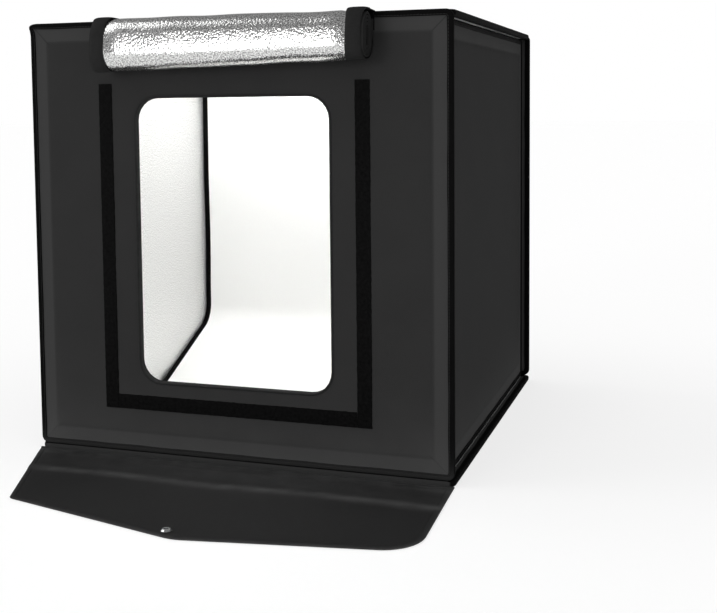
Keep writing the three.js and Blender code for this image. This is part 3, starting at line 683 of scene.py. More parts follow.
class Wall:
    """One wall's plane: U across, V up and N out of the tent, with its half sizes and thickness."""

    def __init__(self, name):
        self.name = name
        self.u, self.v, self.n = (np.array(axis, float) for axis in WALLS[name])
        middle, self.half_u, self.half_v, self.thickness = self.sizes(name + "_binding")
        self.face = middle + self.n * self.thickness / 2
        self.opening = None
        if name in OPENINGS:
            middle, half_u, half_v, _ = self.sizes(OPENINGS[name])
            centre_v = (middle - self.face) @ self.v
            self.opening = half_u - RIM_LAP, half_v - RIM_LAP, OPENING_CORNERS[name], centre_v

    def sizes(self, node_name):
        """The middle of a CAD node, its half sizes along U and V, and its thickness along N."""
        low, high = box_mm(node_name)
        size = high - low
        return (low + high) / 2, abs(size @ self.u) / 2, abs(size @ self.v) / 2, abs(size @ self.n)

    def place(self, flat, height):
        """Points at (u, v) and a height above the wall's outer face."""
        return self.face + np.outer(flat[:, 0], self.u) + np.outer(flat[:, 1], self.v) + np.outer(height, self.n)

    def inset(self, flat):
        """How far each point is inside the wall's edge."""
        return distance_inside(flat, self.half_u, self.half_v, CORNER)


walls = {name: Wall(name) for name in WALLS}
for wall in walls.values():
    size = f"{2 * wall.half_u:.1f} x {2 * wall.half_v:.1f} x {wall.thickness:.1f} mm"
    print(f"{wall.name}:", size, wall.opening or "")

# %% [markdown]
# A wall's cloth is one flat pattern of triangles. Rings of edges follow the crease and the margin, where the
# height changes fast, and a wide grid fills the field. Rings also go round an opening, and round the snap's
# stud on the back wall.

# %% Patterns of the walls' cloths
CLOTH, CUT_IN = 0.8, 2.5
RING_SPACING, GRID_SPACING = 8.0, 15.0
COVER_SECTION = [  # distance in from the edge, height over the wall's face
    (CUT_IN, -1.6), (8.3, -1.6), (13, -1.1), (20, -0.62), (25, -0.35), (26.4, -0.3), (27.6, -0.05), (29, 0.25),
    (31.5, 0.55), (38, 0.85), (120, 1.0), (400, 1.1)]
RIM_ROOM = RIM_CLOTH + 0.3
RIM_RINGS = (RIM_ROOM, RIM_ROOM + 3, RIM_ROOM + 8)
STUD_RINGS, STUD_SIDES, STUD_CLEAR = (7, 10, 14, 21, 30), 24, 36


def stud_spot(wall):
    """Where the snap's stud sits, in a wall's own (u, v)."""
    middle = np.sum(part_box("snap_stud"), axis=0) / 2 / MM - wall.face
    return np.array([middle @ wall.u, middle @ wall.v])


def wall_pattern(wall):
    """The flat triangulation of a wall's cloth, with rings along its creases."""
    insets = [inset for inset, _ in COVER_SECTION if inset < 100]
    rings, edges, count, last = [], [], 0, []
    for inset in insets:
        ring, _, middles = outline(
            wall.half_u - inset, wall.half_v - inset, max(CORNER - inset, 3), RING_SPACING)
        edges += [(a, count + b) for a, b in zip(last, middles)]
        last = [count + m for m in middles]
        rings.append(ring)
        count += len(ring)
    spans = [np.linspace(-half, half, int(2 * half / GRID_SPACING)) for half in (wall.half_u, wall.half_v)]
    grid = np.array([(u, v) for u in spans[0] for v in spans[1]])
    inside = wall.inset(grid) > insets[-1] + GRID_SPACING / 2
    if wall.opening:
        half_u, half_v, radius, centre = wall.opening
        for out in RIM_RINGS:
            rings.append(outline(half_u + out, half_v + out, radius + out, RING_SPACING, centre)[0])
        inside &= -distance_inside(grid, *wall.opening) > RIM_RINGS[-1] + GRID_SPACING / 2
    if wall.name == "back":
        turns = np.linspace(0, math.tau, STUD_SIDES + 1)[:-1]
        circle = np.column_stack([np.cos(turns), np.sin(turns)])
        rings += [stud_spot(wall) + reach * circle for reach in STUD_RINGS]
        inside &= np.linalg.norm(grid - stud_spot(wall), axis=1) > STUD_CLEAR

    def keep(centres):
        kept = wall.inset(centres) > CUT_IN
        if wall.opening:
            kept &= -distance_inside(centres, *wall.opening) > RIM_ROOM
        return kept

    return triangulate(rings, edges, grid[inside], keep)


patterns = {wall: wall_pattern(wall) for wall in walls.values()}
print("points in each pattern:", {wall.name: len(flat) for wall, (flat, _) in patterns.items()})

# %% [markdown]
# The stitching gathers the cloth into small puckers beside the crease. The cloth is drawn tight, so the field
# carries only a slight, wide unevenness. It lies flat round the hatch and round the snap's stud, and nothing
# on the base reaches below the floor.

# %% The two cloths of each wall
PUCKER_WAVE, PUCKER_DEPTH = 23.0, 0.3
SEAM_INSET, SEAM_REACH, SEAM_FROM = 28, 7, 9
FIELD_WAVE, FIELD_DEPTH, FIELD_FROM, FIELD_RISE = 150, 0.2, 20, 40
OPENING_DIP, OPENING_REACH = 0.8, 6
HATCH_FLAT, HATCH_RISE = 20, 20
STUD_FLAT, STUD_RISE = 32, 21
LINING_MARGIN, LINING_HIGHEST = 13.0, 0.15
HATCH_LAP, HATCH_CORNER = 25.0, 45.0
# painted light at the foot of the upright walls: its share and how fast it fades with height
FOOT_LIGHT_SHARE, FOOT_LIGHT_HEIGHT = 0.9, 45


def cloth_height(wall, flat, seed):
    """The height of a boarded cloth over the wall's face, with its puckers and slight waves."""
    inset = wall.inset(flat)
    height = np.interp(inset, *zip(*COVER_SECTION))
    upright = np.abs(flat[:, 0]) / wall.half_u > np.abs(flat[:, 1]) / wall.half_v
    run = np.where(upright, flat[:, 1], flat[:, 0])
    beside_seam = np.exp(-np.abs(inset - SEAM_INSET) / SEAM_REACH) * (inset > SEAM_FROM)
    gather = np.sin(run * math.tau / PUCKER_WAVE + 2.5 * smooth_noise(flat, 90, seed + 1))
    height += PUCKER_DEPTH * gather * beside_seam
    in_field = np.clip((inset - FIELD_FROM) / FIELD_RISE, 0, 1)
    height += FIELD_DEPTH * smooth_noise(flat, FIELD_WAVE, seed) * in_field
    if wall.opening:
        height -= OPENING_DIP * np.exp(distance_inside(flat, *wall.opening) / OPENING_REACH)
    if wall.name == "roof":
        half_u, half_v, _, centre = wall.opening
        off_hatch = -distance_inside(flat, half_u + HATCH_LAP, half_v + HATCH_LAP, HATCH_CORNER, centre)
        height *= np.clip((off_hatch - HATCH_FLAT) / HATCH_RISE, 0, 1)
    if wall.name == "back":
        from_stud = np.linalg.norm(flat - stud_spot(wall), axis=1)
        height *= 1 - np.clip((STUD_FLAT - from_stud) / STUD_RISE, 0, 1)
    if wall.name == "base":
        height = np.minimum(height, 0)
    return height, inset


def wall_foot_light(wall, flat):
    """The share of painted light on an upright wall's cloth, most at its foot, lifting the shade there."""
    height = wall.place(flat, np.zeros(len(flat)))[:, 2]
    return FOOT_LIGHT_SHARE * np.exp(-height / FOOT_LIGHT_HEIGHT) * (wall.v[2] != 0)


for number, (wall, (flat, triangles)) in enumerate(patterns.items()):
    height, inset = cloth_height(wall, flat, 10 * number)
    mitre = np.abs((wall.half_u - np.abs(flat[:, 0])) - (wall.half_v - np.abs(flat[:, 1])))
    # the foot mark is painted light that lifts the shade at the foot
    marks = {"inset": inset, "mitre": mitre, "dust": wall_foot_light(wall, flat)}
    cut = (2 * (wall.half_u - CUT_IN) * MM, 2 * (wall.half_v - CUT_IN) * MM)
    area = cut[0] * cut[1]
    if wall.opening:
        area -= 4 * wall.opening[0] * wall.opening[1] * MM * MM
    highest = LINING_HIGHEST + 0.1 * smooth_noise(flat, 70, number)
    face = -wall.thickness - np.minimum(cloth_height(wall, flat, 10 * number + 5)[0], highest)
    margin = wall.inset(flat[triangles].mean(axis=1)) < LINING_MARGIN
    for layer, form, slot, top, materials, second in (
            ("cover", "cloth", "black_nylon", height, [boarded_nylon], None),
            ("lining", "film", "silver_lining", face + CLOTH, [wall_film, boarded_nylon], margin)):
        piece = closed_panel(f"{wall.name}_{layer}_{form}", flat, triangles, top, top - CLOTH, wall.place,
                             materials, marks, second)
        dress(piece, f"{wall.name}_{layer}", slot=slot)
print("wall cloths:", 2 * len(walls), "pieces, last with", len(triangles), "triangles a side")

# %% [markdown]
# ## Bindings and rims
# A binding tape is folded over the edge, so its section is a C with soft corners, and the line of stitches
# pulls a small groove along each lip. The rims of the window and the hatch are the same kind of tape, folded
# the other way round. The hand that guided them wasn't perfect: the tape's width wanders by a few tenths of a
# millimetre. At the front wall's top left corner the binding ends in a small ear.

# %% Binding tapes
BINDING_WIDTH, BINDING_CLOTH, WEB = 8.0, 1.3, 2.2
HALF_SECTION = [  # distance in from the edge, height over the wall's face, for the tape's outer side
    (8.0, -1.15), (8.0, -0.5), (7.5, -0.12), (6.5, -0.22), (5.9, -0.6), (5.3, -0.2), (3.6, -0.02), (2.1, -0.12),
    (1.0, -0.55), (0.3, -1.3), (0.0, -2.4)]
RIM_LIP = [(-3.1, 0.2), (-3.2, 0.9), (-2.7, 1.5), (-1.5, 1.75), (-0.5, 1.4), (0.0, 0.6), (0.0, -1.0)]
EAR_DOWN, EAR_SIZE, EAR_SHIFT = 3, 6.5, np.array([-4.0, 1.2])
LOOSE_FROM = 4
BINDING_STEP, BINDING_WANDER = 6, 0.3
RIM_STEP, RIM_WANDER = 12, 0.15
WANDER_WAVE, SWELL_WAVE = 60, 35


def tape_loop(wall, name, line, section, wander, seed, tape=binding_tape):
    """A tape carried round a closed line on a wall. Section is (distance inwards, height) for each point."""
    points, normals, _ = line
    wobble = wander * smooth_noise(points, WANDER_WAVE, seed)
    swell = -np.abs(0.5 * wander * smooth_noise(points, SWELL_WAVE, seed + 1))
    rows = []
    for inset, height in section:
        inwards = inset + wobble * (inset > LOOSE_FROM)
        lift = swell * (height > -wall.thickness / 2)
        rows.append(wall.place(points - normals * inwards[:, None], height + lift))
    rings = np.stack(rows, axis=1)
    if wall.name == "base":
        rings[..., 2] = np.maximum(rings[..., 2], 0)
    # tapes get painted light at the foot of the front
    return band(name, rings, [tape], loop=True, sharp=60, dust=front_foot_light)


def with_ear(line, wall):
    """The line with its top left corner pulled out into an ear."""
    points, normals, middles = line
    spot = np.array([-wall.half_u, wall.half_v - EAR_DOWN])
    near = np.exp(-(np.linalg.norm(points - spot, axis=1) / EAR_SIZE) ** 2)
    return points + near[:, None] * EAR_SHIFT, normals, middles


for number, wall in enumerate(walls.values()):
    depth = wall.thickness
    inner = [(inset, -depth - height) for inset, height in reversed(HALF_SECTION)]
    inside = [(BINDING_WIDTH, -depth + BINDING_CLOTH), (WEB, -depth + BINDING_CLOTH), (WEB, -BINDING_CLOTH),
              (BINDING_WIDTH, -BINDING_CLOTH)]
    line = outline(wall.half_u, wall.half_v, CORNER, BINDING_STEP)
    if wall.name == "front":
        line = with_ear(line, wall)
    section = HALF_SECTION + inner + inside
    tape = tape_loop(wall, f"{wall.name}_binding_tape", line, section, BINDING_WANDER, 100 + number)
    dress(tape, f"{wall.name}_binding", slot="black_binding")
    if wall.opening:
        half_u, half_v, radius, centre = wall.opening
        line = outline(half_u, half_v, radius, RIM_STEP, centre)
        foot = [(inset, -depth - height) for inset, height in reversed(RIM_LIP)]
        back = [(-3.0, -depth - 0.3), (-RIM_CLOTH, -depth - 0.3), (-RIM_CLOTH, 0.3), (-3.0, 0.3)]
        rim_name = OPENINGS[wall.name]
        section = RIM_LIP + foot + back
        rim = tape_loop(wall, f"{rim_name}_tape", line, section, RIM_WANDER, 120 + number, rim_tape)
        dress(rim, rim_name, slot="black_binding")
print("bindings:", len(walls), "and rims:", len(OPENINGS))

# %% [markdown]
# ## Hook-and-loop tapes
# These are flat strips with a fuzzy face. Their edges are cut by a hot knife and come out a little ragged, so
# each section's width and height vary along the strip.

# %% Flat strips
STRIP_SECTION = [  # place across the strip in half widths, height in thicknesses
    (-1.0, 0.0), (-1.0, 0.55), (-0.96, 0.9), (-0.7, 1.0), (-0.35, 1.04), (0, 1.0), (0.35, 1.04), (0.7, 1.0),
    (0.96, 0.9), (1.0, 0.55), (1.0, 0.0)]
RAGGED, RAGGED_WAVE = 0.35, 9
FUZZ_HEIGHT, FUZZ_WAVE = 0.12, 7
STATION_STEP, FEWEST_STATIONS = 5, 8
ROWS_APART, OTHER_EDGE = 17.0, 50
WINDOW_TAPE_THINNER = 0.1


def fuzzy_strip(node_name, long_axis, face_axis, face_sign, seed, thinner):
    """A strip with a soft face and ragged edges, in the box of its CAD node."""
    low, high = box_mm(node_name)
    cross = 3 - long_axis - face_axis
    length, width, thick = (high - low)[[long_axis, cross, face_axis]]
    stations = np.linspace(low[long_axis], high[long_axis], max(FEWEST_STATIONS, int(length / STATION_STEP)))
    middle = (low[cross] + high[cross]) / 2
    root = low[face_axis] if face_sign > 0 else high[face_axis]
    rings = np.zeros((len(stations), len(STRIP_SECTION), 3))
    for k, (side, rise) in enumerate(STRIP_SECTION):
        spots = np.column_stack([stations, np.full(len(stations), ROWS_APART * k)])
        edge_seed = seed + (0 if side < 0 else OTHER_EDGE)
        ragged = RAGGED * smooth_noise(spots, RAGGED_WAVE, edge_seed) * abs(side)
        fuzz = FUZZ_HEIGHT * smooth_noise(spots, FUZZ_WAVE, seed + k)
        rings[:, k, long_axis] = stations
        rings[:, k, cross] = middle + side * (width / 2 + ragged)
        rings[:, k, face_axis] = root + face_sign * rise * (thick - thinner + fuzz)
    return band(node_name + "_pile", rings, [loop_pile])


STRIPS = {  # the axis along the strip, the axis that it faces and which way
    "window_tape_left": (2, 1, -1), "window_tape_right": (2, 1, -1), "window_tape_bottom": (0, 1, -1),
    "ceiling_tape_left": (1, 2, -1), "ceiling_tape_right": (1, 2, -1), "backdrop_header_tape": (0, 2, -1),
    "front_light_hook_tape": (0, 2, 1), "rear_light_hook_tape": (0, 2, 1),
}
for number, (node_name, axes) in enumerate(STRIPS.items()):
    thinner = WINDOW_TAPE_THINNER if node_name.startswith("window") else 0.0
    strip = fuzzy_strip(node_name, *axes, 200 + 10 * number, thinner)
    dress(strip, node_name, slot="hook_and_loop")
print("strips:", len(STRIPS))

# %% [markdown]
# ## Rolled window cover
# The cover hangs from a seam near the wall's top, passes down behind the roll and winds up inside it, silver
# side out. The whole roll is one sheet: the code walks the same spiral as the CAD solid in finer steps, and
# swells and dents all turns together, so that they never touch. Its side edges are bound in black. The roll
# is squeezed under its straps, slimmer towards its right end, and leans out from the wall at its foot.

# %% The roll
ROLL_SHEET, TURN_PITCH, ROLL_TURNS = 3.8, 4.6, 4
ROLL_TALL, ROLL_DEEP = 68.0, 48.0
ROLL_TAPER, ROLL_LEAN = 0.13, 0.12
SEAM_Z = 590.0
STRAP_WIDTH, STRAP_SQUEEZE, STRAP_BLUR = 25.0, 0.1, 2.5
END_IN = {"left": 5.0, "right": 4.0}
EDGE_SPANS, BOUND_STATIONS = [0, 1.0, 7.5, 8.2, 14], 3
EDGE_ZONE, ROLL_STATIONS, HALF_TURN_STEPS = 24, 36, 16
BOUND_EDGE, BOUND_SWELL = (0.5, 8), 0.1
PLUMP, PLUMP_TAPER = 0.92, 0.1
ROLL_DENT, ROLL_DENT_WAVE, ROLL_DENT_ROUND, ROLL_BELLY = 0.55, 85, 25, 0.5
STRAP_PINCH = 1.8
HANGING = 21

low, high = box_mm("window_cover_roll")
low[0] += END_IN["left"]
high[0] -= END_IN["right"]
roll_long = high[0] - low[0]
roll_middle = (low[0] + high[0]) / 2
roll_y = low[1] + ROLL_DEEP / 2
roll_z = low[2] + ROLL_TALL / 2
roll_flat = (ROLL_TALL - ROLL_DEEP) / 2


def along_roll(x):
    """Where on the roll's length a place is, from -1 to 1."""
    return (x - roll_middle) / (roll_long / 2)


def slimmed(x, z):
    """Heights on the roll, whose lower half grows slimmer from its left end to its right."""
    return np.where(z < roll_z, roll_z + (z - roll_z) * (1 - ROLL_TAPER * along_roll(x)), z)


def leaned(y, z):
    """Depths on the roll, which hangs from its seam and swings out a little at its foot."""
    return y - ROLL_LEAN * np.clip(SEAM_Z - z, 0, None)


def spiral(steps):
    """The sheet's middle line as (y, z, turn angle) rows, from the seam to the roll's heart."""
    outer = (ROLL_DEEP - ROLL_SHEET) / 2
    rows = [(outer, SEAM_Z - roll_z, 0.0), (outer, roll_flat * 0.4, 0.0)]
    for turn in range(ROLL_TURNS):
        radius = outer - TURN_PITCH * turn
        for step in range(steps + 1):
            angle = math.pi * step / steps
            rows.append((radius * math.cos(angle), -roll_flat - radius * math.sin(angle), angle))
        for step in range(steps):
            angle = math.pi * (1 + step / steps)
            inner = radius - TURN_PITCH * step / steps
            rows.append((inner * math.cos(angle), roll_flat - inner * math.sin(angle), angle))
    return np.array(rows) + (roll_y, roll_z, 0)


def offsets(line):
    """Unit normals along a line of (y, z) points."""
    along = np.gradient(line, axis=0)
    along /= np.linalg.norm(along, axis=1)[:, None]
    return np.column_stack([-along[:, 1], along[:, 0]])


def roll_section(span):
    """The whole sheet's section at a place along the roll."""
    x = low[0] + span
    from_end = min(span, roll_long - span)
    under_strap = 1 / (1 + math.exp((from_end - STRAP_WIDTH) / STRAP_BLUR))
    squeeze = STRAP_SQUEEZE * under_strap
    xs = np.full(len(line), x)
    turns = np.column_stack([np.cos(line[:, 2]), np.sin(line[:, 2])])
    dents = smooth_noise(np.column_stack([xs, ROLL_DENT_ROUND * turns]), ROLL_DENT_WAVE, 7)
    belly = ROLL_BELLY * math.sin(math.pi * span / roll_long)
    swell = ROLL_DENT * dents - STRAP_PINCH * under_strap + belly
    held = np.clip(line[:, 0] - roll_y - HANGING, 0, 1) * (line[:, 1] > roll_z)
    swell = 1 + swell / (ROLL_DEEP / 2) * (1 - held)
    depth = swell * (1 - squeeze * (1 - held))
    middle = np.column_stack([
        roll_y + (line[:, 0] - roll_y) * depth, slimmed(x, roll_z + (line[:, 1] - roll_z) * swell)])
    plump = (PLUMP - PLUMP_TAPER * along_roll(x)) * (1 - squeeze)
    bound = BOUND_SWELL if BOUND_EDGE[0] < from_end < BOUND_EDGE[1] else 0.0
    reach = sides * (ROLL_SHEET / 2 * plump + bound)
    y, z = np.vstack([middle + reach, (middle - reach)[::-1]]).T
    return np.column_stack([np.full(len(y), x), leaned(y, z), z])


def roll_face(station, k):
    """Silver outside, nylon inside, and black tape at the two bound edges."""
    if k < 0 or station < BOUND_STATIONS or station >= len(spans) - 1 - BOUND_STATIONS:
        return 2
    return 0 if k < len(line) else 1


line = spiral(HALF_TURN_STEPS)
sides = offsets(line[:, :2])
lengths = run_along(line[:, :2])
spans = [*EDGE_SPANS, *np.linspace(EDGE_ZONE, roll_long - EDGE_ZONE, ROLL_STATIONS),
         *(roll_long - span for span in reversed(EDGE_SPANS))]
roll = band("window_cover_rolled_sheet", [roll_section(span) for span in spans],
            [roll_film, soft_nylon, soft_nylon], along=spans, face_material=roll_face, sharp=50)
dress(roll, "window_cover_roll", slot="silver_lining")
print(f"roll: {roll_long:.0f} x {lengths[-1]:.0f} mm of sheet in {ROLL_TURNS} turns")

# %% [markdown]
# The cover's top edge is folded into a black tape and sewn to the wall. The tape is as long as the roll, so it
# shows only from above.

# %% Seam tape over the cover's top edge
SEAM_SECTION = [
    (-300.3, 576), (-300.3, 597.5), (-303, 598.4), (-306.2, 597.2), (-306.7, 592.5), (-306, 590.7),
    (-301.8, 590.4), (-301.7, 576)]
SEAM_PAST_ROLL = 0.5
SEAM_LIFT = (0.3, 30, 75, 580)
ends = (low[0] - SEAM_PAST_ROLL, high[0] + SEAM_PAST_ROLL)
seam = sewn_tape("window_cover_seam_tape", ends, 110, SEAM_SECTION, SEAM_LIFT)
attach(seam, "front_wall")
print("seam tape:", round(ends[1] - ends[0]), "mm")

# %% [markdown]
# ## Straps round the roll
# Two straps of soft webbing are sewn over the wall's top edge, go round the roll and end behind it. They
# bulge a little in the middle of their width, where the roll pushes them out. The right one is closed by a
# second layer that ends half way down its front.

# %% Straps
STRAP_CLOTH = 1.2
SEAT_Z, TAIL_Y, WALL_Y = 600.9, -294.0, -300.9
CLOSURE_END_Z, CLOSURE_CLOTH = 566.0, 0.9
STRAP_NARROWER, STRAP_STEP, STRAP_POINTS = 2.4, 3.0, 11
CROWN, CROWN_FRONT, EDGE_DROP = 0.3, 0.5, 0.5


def rounded_path(corners, steps=8):
    """A path of (point, radius) corners with each rounded, as an array of points."""
    path = []
    for i, (at, radius) in enumerate(corners):
        at = np.array(at, float)
        if not radius:
            path.append(at)
            continue
        back = np.array(corners[i - 1][0], float) - at
        ahead = np.array(corners[(i + 1) % len(corners)][0], float) - at
        back, ahead = back / np.linalg.norm(back), ahead / np.linalg.norm(ahead)
        opening = math.acos(np.clip(back @ ahead, -1, 1))
        middle = (back + ahead) / np.linalg.norm(back + ahead)
        centre = at + middle * radius / math.sin(opening / 2)
        first = at + back * radius / math.tan(opening / 2) - centre
        last = at + ahead * radius / math.tan(opening / 2) - centre
        turn = math.copysign(math.pi - opening, first[0] * last[1] - first[1] * last[0])
        for step in range(steps + 1):
            c, s = math.cos(turn * step / steps), math.sin(turn * step / steps)
            path.append(centre + np.array([c * first[0] - s * first[1], s * first[0] + c * first[1]]))
    return np.array(path)


def even_path(path, spacing):
    """The same path in even steps, with the distance along it."""
    run = run_along(path)
    marks = np.linspace(0, run[-1], max(2, round(run[-1] / spacing) + 1))
    return np.column_stack([np.interp(marks, run, path[:, axis]) for axis in range(path.shape[1])]), marks


arm = ROLL_DEEP / 2 - 1.0 + STRAP_CLOTH / 2
front_arm = arm * (1 - STRAP_SQUEEZE)
front_y = roll_y - front_arm
rise = (roll_z + roll_flat + arm - SEAT_Z) / (TAIL_Y - roll_y)
foot_z = roll_z - roll_flat - arm
back_arm = WALL_Y - roll_y - 0.1
strap_path, strap_run = even_path(rounded_path([
    ((TAIL_Y, SEAT_Z), 0), ((front_y, SEAT_Z + rise * (TAIL_Y - front_y)), front_arm),
    ((front_y, foot_z), front_arm), ((WALL_Y, foot_z), back_arm), ((WALL_Y, foot_z + back_arm + 12), 0)],
    steps=14), STRAP_STEP)
strap_side = offsets(strap_path)
if strap_side[len(strap_side) // 2, 0] > 0:
    strap_side = -strap_side
front_share = np.clip((roll_y + 4 - strap_path[:, 0]) / arm, 0, 1)
across = np.linspace(-1, 1, STRAP_POINTS)
for side, inwards, seed in (("left", 1, 300), ("right", -1, 310)):
    low, high = box_mm(f"roll_strap_{side}")
    middle_x = (low[0] + high[0]) / 2 + END_IN[side] * inwards
    half = (high[0] - low[0]) / 2 + 0.3 * smooth_noise(strap_path, 30, seed) - STRAP_NARROWER * front_share ** 2
    rings = []
    for i, (y, z) in enumerate(strap_path):
        layer = CLOSURE_CLOTH if side == "right" and z > CLOSURE_END_Z and y < roll_y + 8 else 0.0
        crown = (1 - across ** 2) * (CROWN + CROWN_FRONT * front_share[i])
        crown = crown + layer - EDGE_DROP * np.abs(across) ** 6
        lift = np.concatenate([STRAP_CLOTH / 2 + crown, np.full(len(across), -STRAP_CLOTH / 2)])
        xs = middle_x + np.concatenate([across, 0.99 * across[::-1]]) * half[i]
        zs = slimmed(xs, z + strap_side[i, 1] * lift)
        rings.append(np.column_stack([xs, leaned(y + strap_side[i, 0] * lift, zs), zs]))
    strap = band(f"roll_strap_{side}_webbing", rings, [webbing], along=strap_run, sharp=55)
    dress(strap, f"roll_strap_{side}", slot="webbing")
print(f"straps: {strap_run[-1]:.0f} mm long each")

# %% [markdown]
# ## Closure flap
# The flap is a soft double cloth without a board. It is sewn to the base's front edge, bends up softly along a
# crease and ends in a tongue with a snap. Its hem is folded twice and sewn, so the edge is thicker. It is made
# of two panels.

# %% Flap outline
ROOT_Y, FLAP_CLOTH, FLAP_FLOOR = -302.6, 2.4, 1.35
SPINE_DEPTH = 78.15
LEFT_IN, LEFT_REACH, RIGHT_OUT, RIGHT_REACH = 80.0, 194.0, 7.0, 211.0
APEX_X, APEX_REACH = 35.0, 258.0
HALF, HEM = 300.0, 7.5


def left_x(reach):
    return -HALF + LEFT_IN * reach / LEFT_REACH


def right_x(reach):
    return HALF + RIGHT_OUT * reach / RIGHT_REACH


whole_flap = rounded_path([
    ((HALF, ROOT_Y), 0), ((-HALF, ROOT_Y), 0), ((-HALF + LEFT_IN, ROOT_Y - LEFT_REACH), 10),
    ((APEX_X, ROOT_Y - APEX_REACH), 60), ((HALF + RIGHT_OUT, ROOT_Y - RIGHT_REACH), 50)], steps=10)


def edge_distance(points, polygon):
    """The distance from each point to the nearest side of a polygon."""
    best = np.full(len(points), np.inf)
    for start, end in zip(polygon, np.roll(polygon, -1, 0)):
        side = end - start
        share = np.clip((points - start) @ side / (side @ side + TINY), 0, 1)
        best = np.minimum(best, np.linalg.norm(points - start - share[:, None] * side, axis=1))
    return best


def inside_polygon(points, polygon):
    """Which points lie in a polygon."""
    inside = np.zeros(len(points), bool)
    for (x1, y1), (x2, y2) in zip(polygon, np.roll(polygon, -1, 0)):
        crosses = (y1 > points[:, 1]) != (y2 > points[:, 1])
        at = x1 + (points[:, 1] - y1) / (y2 - y1 + TINY) * (x2 - x1)
        inside ^= crosses & (points[:, 0] < at)
    return inside


def double_area(ring):
    """Twice the area in a ring of points, above zero if it runs anticlockwise."""
    return np.sum(ring[:, 0] * np.roll(ring[:, 1], -1) - np.roll(ring[:, 0], -1) * ring[:, 1])


def inward(ring):
    """Unit normals into a ring of points."""
    along = np.roll(ring, -1, 0) - np.roll(ring, 1, 0)
    along /= np.linalg.norm(along, axis=1)[:, None] + TINY
    return np.column_stack([-along[:, 1], along[:, 0]]) * (1 if double_area(ring) > 0 else -1)


print("flap: outline of", len(whole_flap), "points,", round(double_area(whole_flap) / 2 / 100), "square cm")

# %% [markdown]
# Nothing stiffens the flap. It puckers where it is sewn on, swells over its crease and its hem, and lies slack
# between them. Its colour carries a painted highlight on the crease, painted light over the shade at its root
# and on its spine, and grey wear with a painted highlight along its edges.

# %% Flap panels
HEM_PROFILE = [(0, -0.3), (0.5, 0.2), (1.4, 0.6), (6.6, 0.65), (HEM, 0.15), (8.4, 0.4), (12, 0.2)]
CREASE_AT, CREASE_WIDTH, CREASE_RISE = 78, 8.5, 1.0
GATHER, GATHER_WAVE, GATHER_AT, GATHER_REACH, GATHER_LOWEST = 0.7, 31, 9, 10, -0.6
FLAP_SLACK, FLAP_SLACK_WAVE = 0.35, 130
# painted highlight on the crease, wear and painted highlight on the edges, painted light at the root and spine
CREASE_HIGHLIGHT, EDGE_WEAR_AND_HIGHLIGHT, ROOT_LIGHT, SPINE_LIGHT = 0.75, 0.7, 0.4, 0.2
SNAP_SPOT, SNAP_BLEND = 22, 12
HIGHEST = FLAP_CLOTH + 0.12
HEM_RINGS = (0.6, 1.6, 6.6, HEM, 8.4)
RING_STEP, HEM_CLEAR = 5.0, 11.0


def flap_height(flat, hem, reach):
    """The flap's upper face: hem, crease ridge, puckers at the root and slack waves."""
    ridge = (reach - CREASE_AT - 2 * line_noise(flat[:, 0], 160, 61)) / CREASE_WIDTH
    gathers = GATHER * np.sin(flat[:, 0] * math.tau / GATHER_WAVE + 3 * smooth_noise(flat, 110, 62))
    gathers = np.maximum(gathers * np.exp(-np.abs(reach - GATHER_AT) / GATHER_REACH), GATHER_LOWEST)
    slack = FLAP_SLACK * (1 + smooth_noise(flat, FLAP_SLACK_WAVE, 63))
    slack = slack * np.clip(reach / 40, 0, 1) * np.clip(hem / 30, 0.15, 1)
    height = FLAP_FLOOR + np.interp(hem, *zip(*HEM_PROFILE)) + CREASE_RISE * np.exp(-ridge ** 2) + gathers + slack
    snap = np.sum(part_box("snap_cap"), axis=0)[:2] / 2 / MM
    beside_snap = np.clip((SNAP_SPOT - np.linalg.norm(flat - snap, axis=1)) / SNAP_BLEND, 0, 1)
    return np.minimum(height + (FLAP_CLOTH - height) * beside_snap, HIGHEST)


def flap_wear_and_light(flat, hem, reach):
    """Painted highlight on the crease, wear and a painted highlight on the edges, painted light at the root and
    spine.
    """
    crease = (reach - CREASE_AT - 1 - 3 * line_noise(flat[:, 0], 160, 61)) / 10
    edges = np.maximum(CREASE_HIGHLIGHT * np.exp(-crease ** 2), EDGE_WEAR_AND_HIGHLIGHT * np.exp(-hem / 2.0))
    root = ROOT_LIGHT * np.exp(-((reach - 14) / 11) ** 2)
    return edges + root + SPINE_LIGHT * np.clip((72 - reach) / 20, 0, 1)


def flap_pattern(reach_from, reach_to):
    """The outline and the flat triangulation of one panel, with rings along its hem."""
    y_from, y_to = ROOT_Y - reach_from, ROOT_Y - reach_to
    cut = [tuple(p) for p in whole_flap if y_to - 1e-6 < p[1] < y_from + 1e-6 and abs(p[1] - ROOT_Y) > 1e-6]
    if reach_to < APEX_REACH:
        cut = [(left_x(reach_to), y_to), (right_x(reach_to), y_to)]
    polygon = np.array([(right_x(reach_from), y_from), (left_x(reach_from), y_from)] + cut)
    ring = even_path(np.vstack([polygon, polygon[:1]]), RING_STEP)[0][:-1]
    nearest = [np.argmin(np.linalg.norm(ring - p, axis=1)) for p in polygon]
    for spot, p in zip(nearest, polygon):
        ring[spot] = p
    xs, ys = np.meshgrid(np.arange(-304, 312, 7.0), np.arange(y_from - 3.5, y_to, -5.0))
    grid = np.column_stack([xs.ravel(), ys.ravel()])
    grid = grid[inside_polygon(grid, ring) & (edge_distance(grid, ring) > HEM_CLEAR)]
    loose = []
    for depth in HEM_RINGS:
        nearby = ring + depth * inward(ring)
        loose.append(nearby[inside_polygon(nearby, ring) & (edge_distance(nearby, ring) > depth * 0.9)])
    return ring, *triangulate([ring], [], np.vstack([*loose, grid]), lambda centres: inside_polygon(centres, ring))


def on_floor(flat, height):
    """Points at their heights over the floor."""
    return np.column_stack([flat, height])


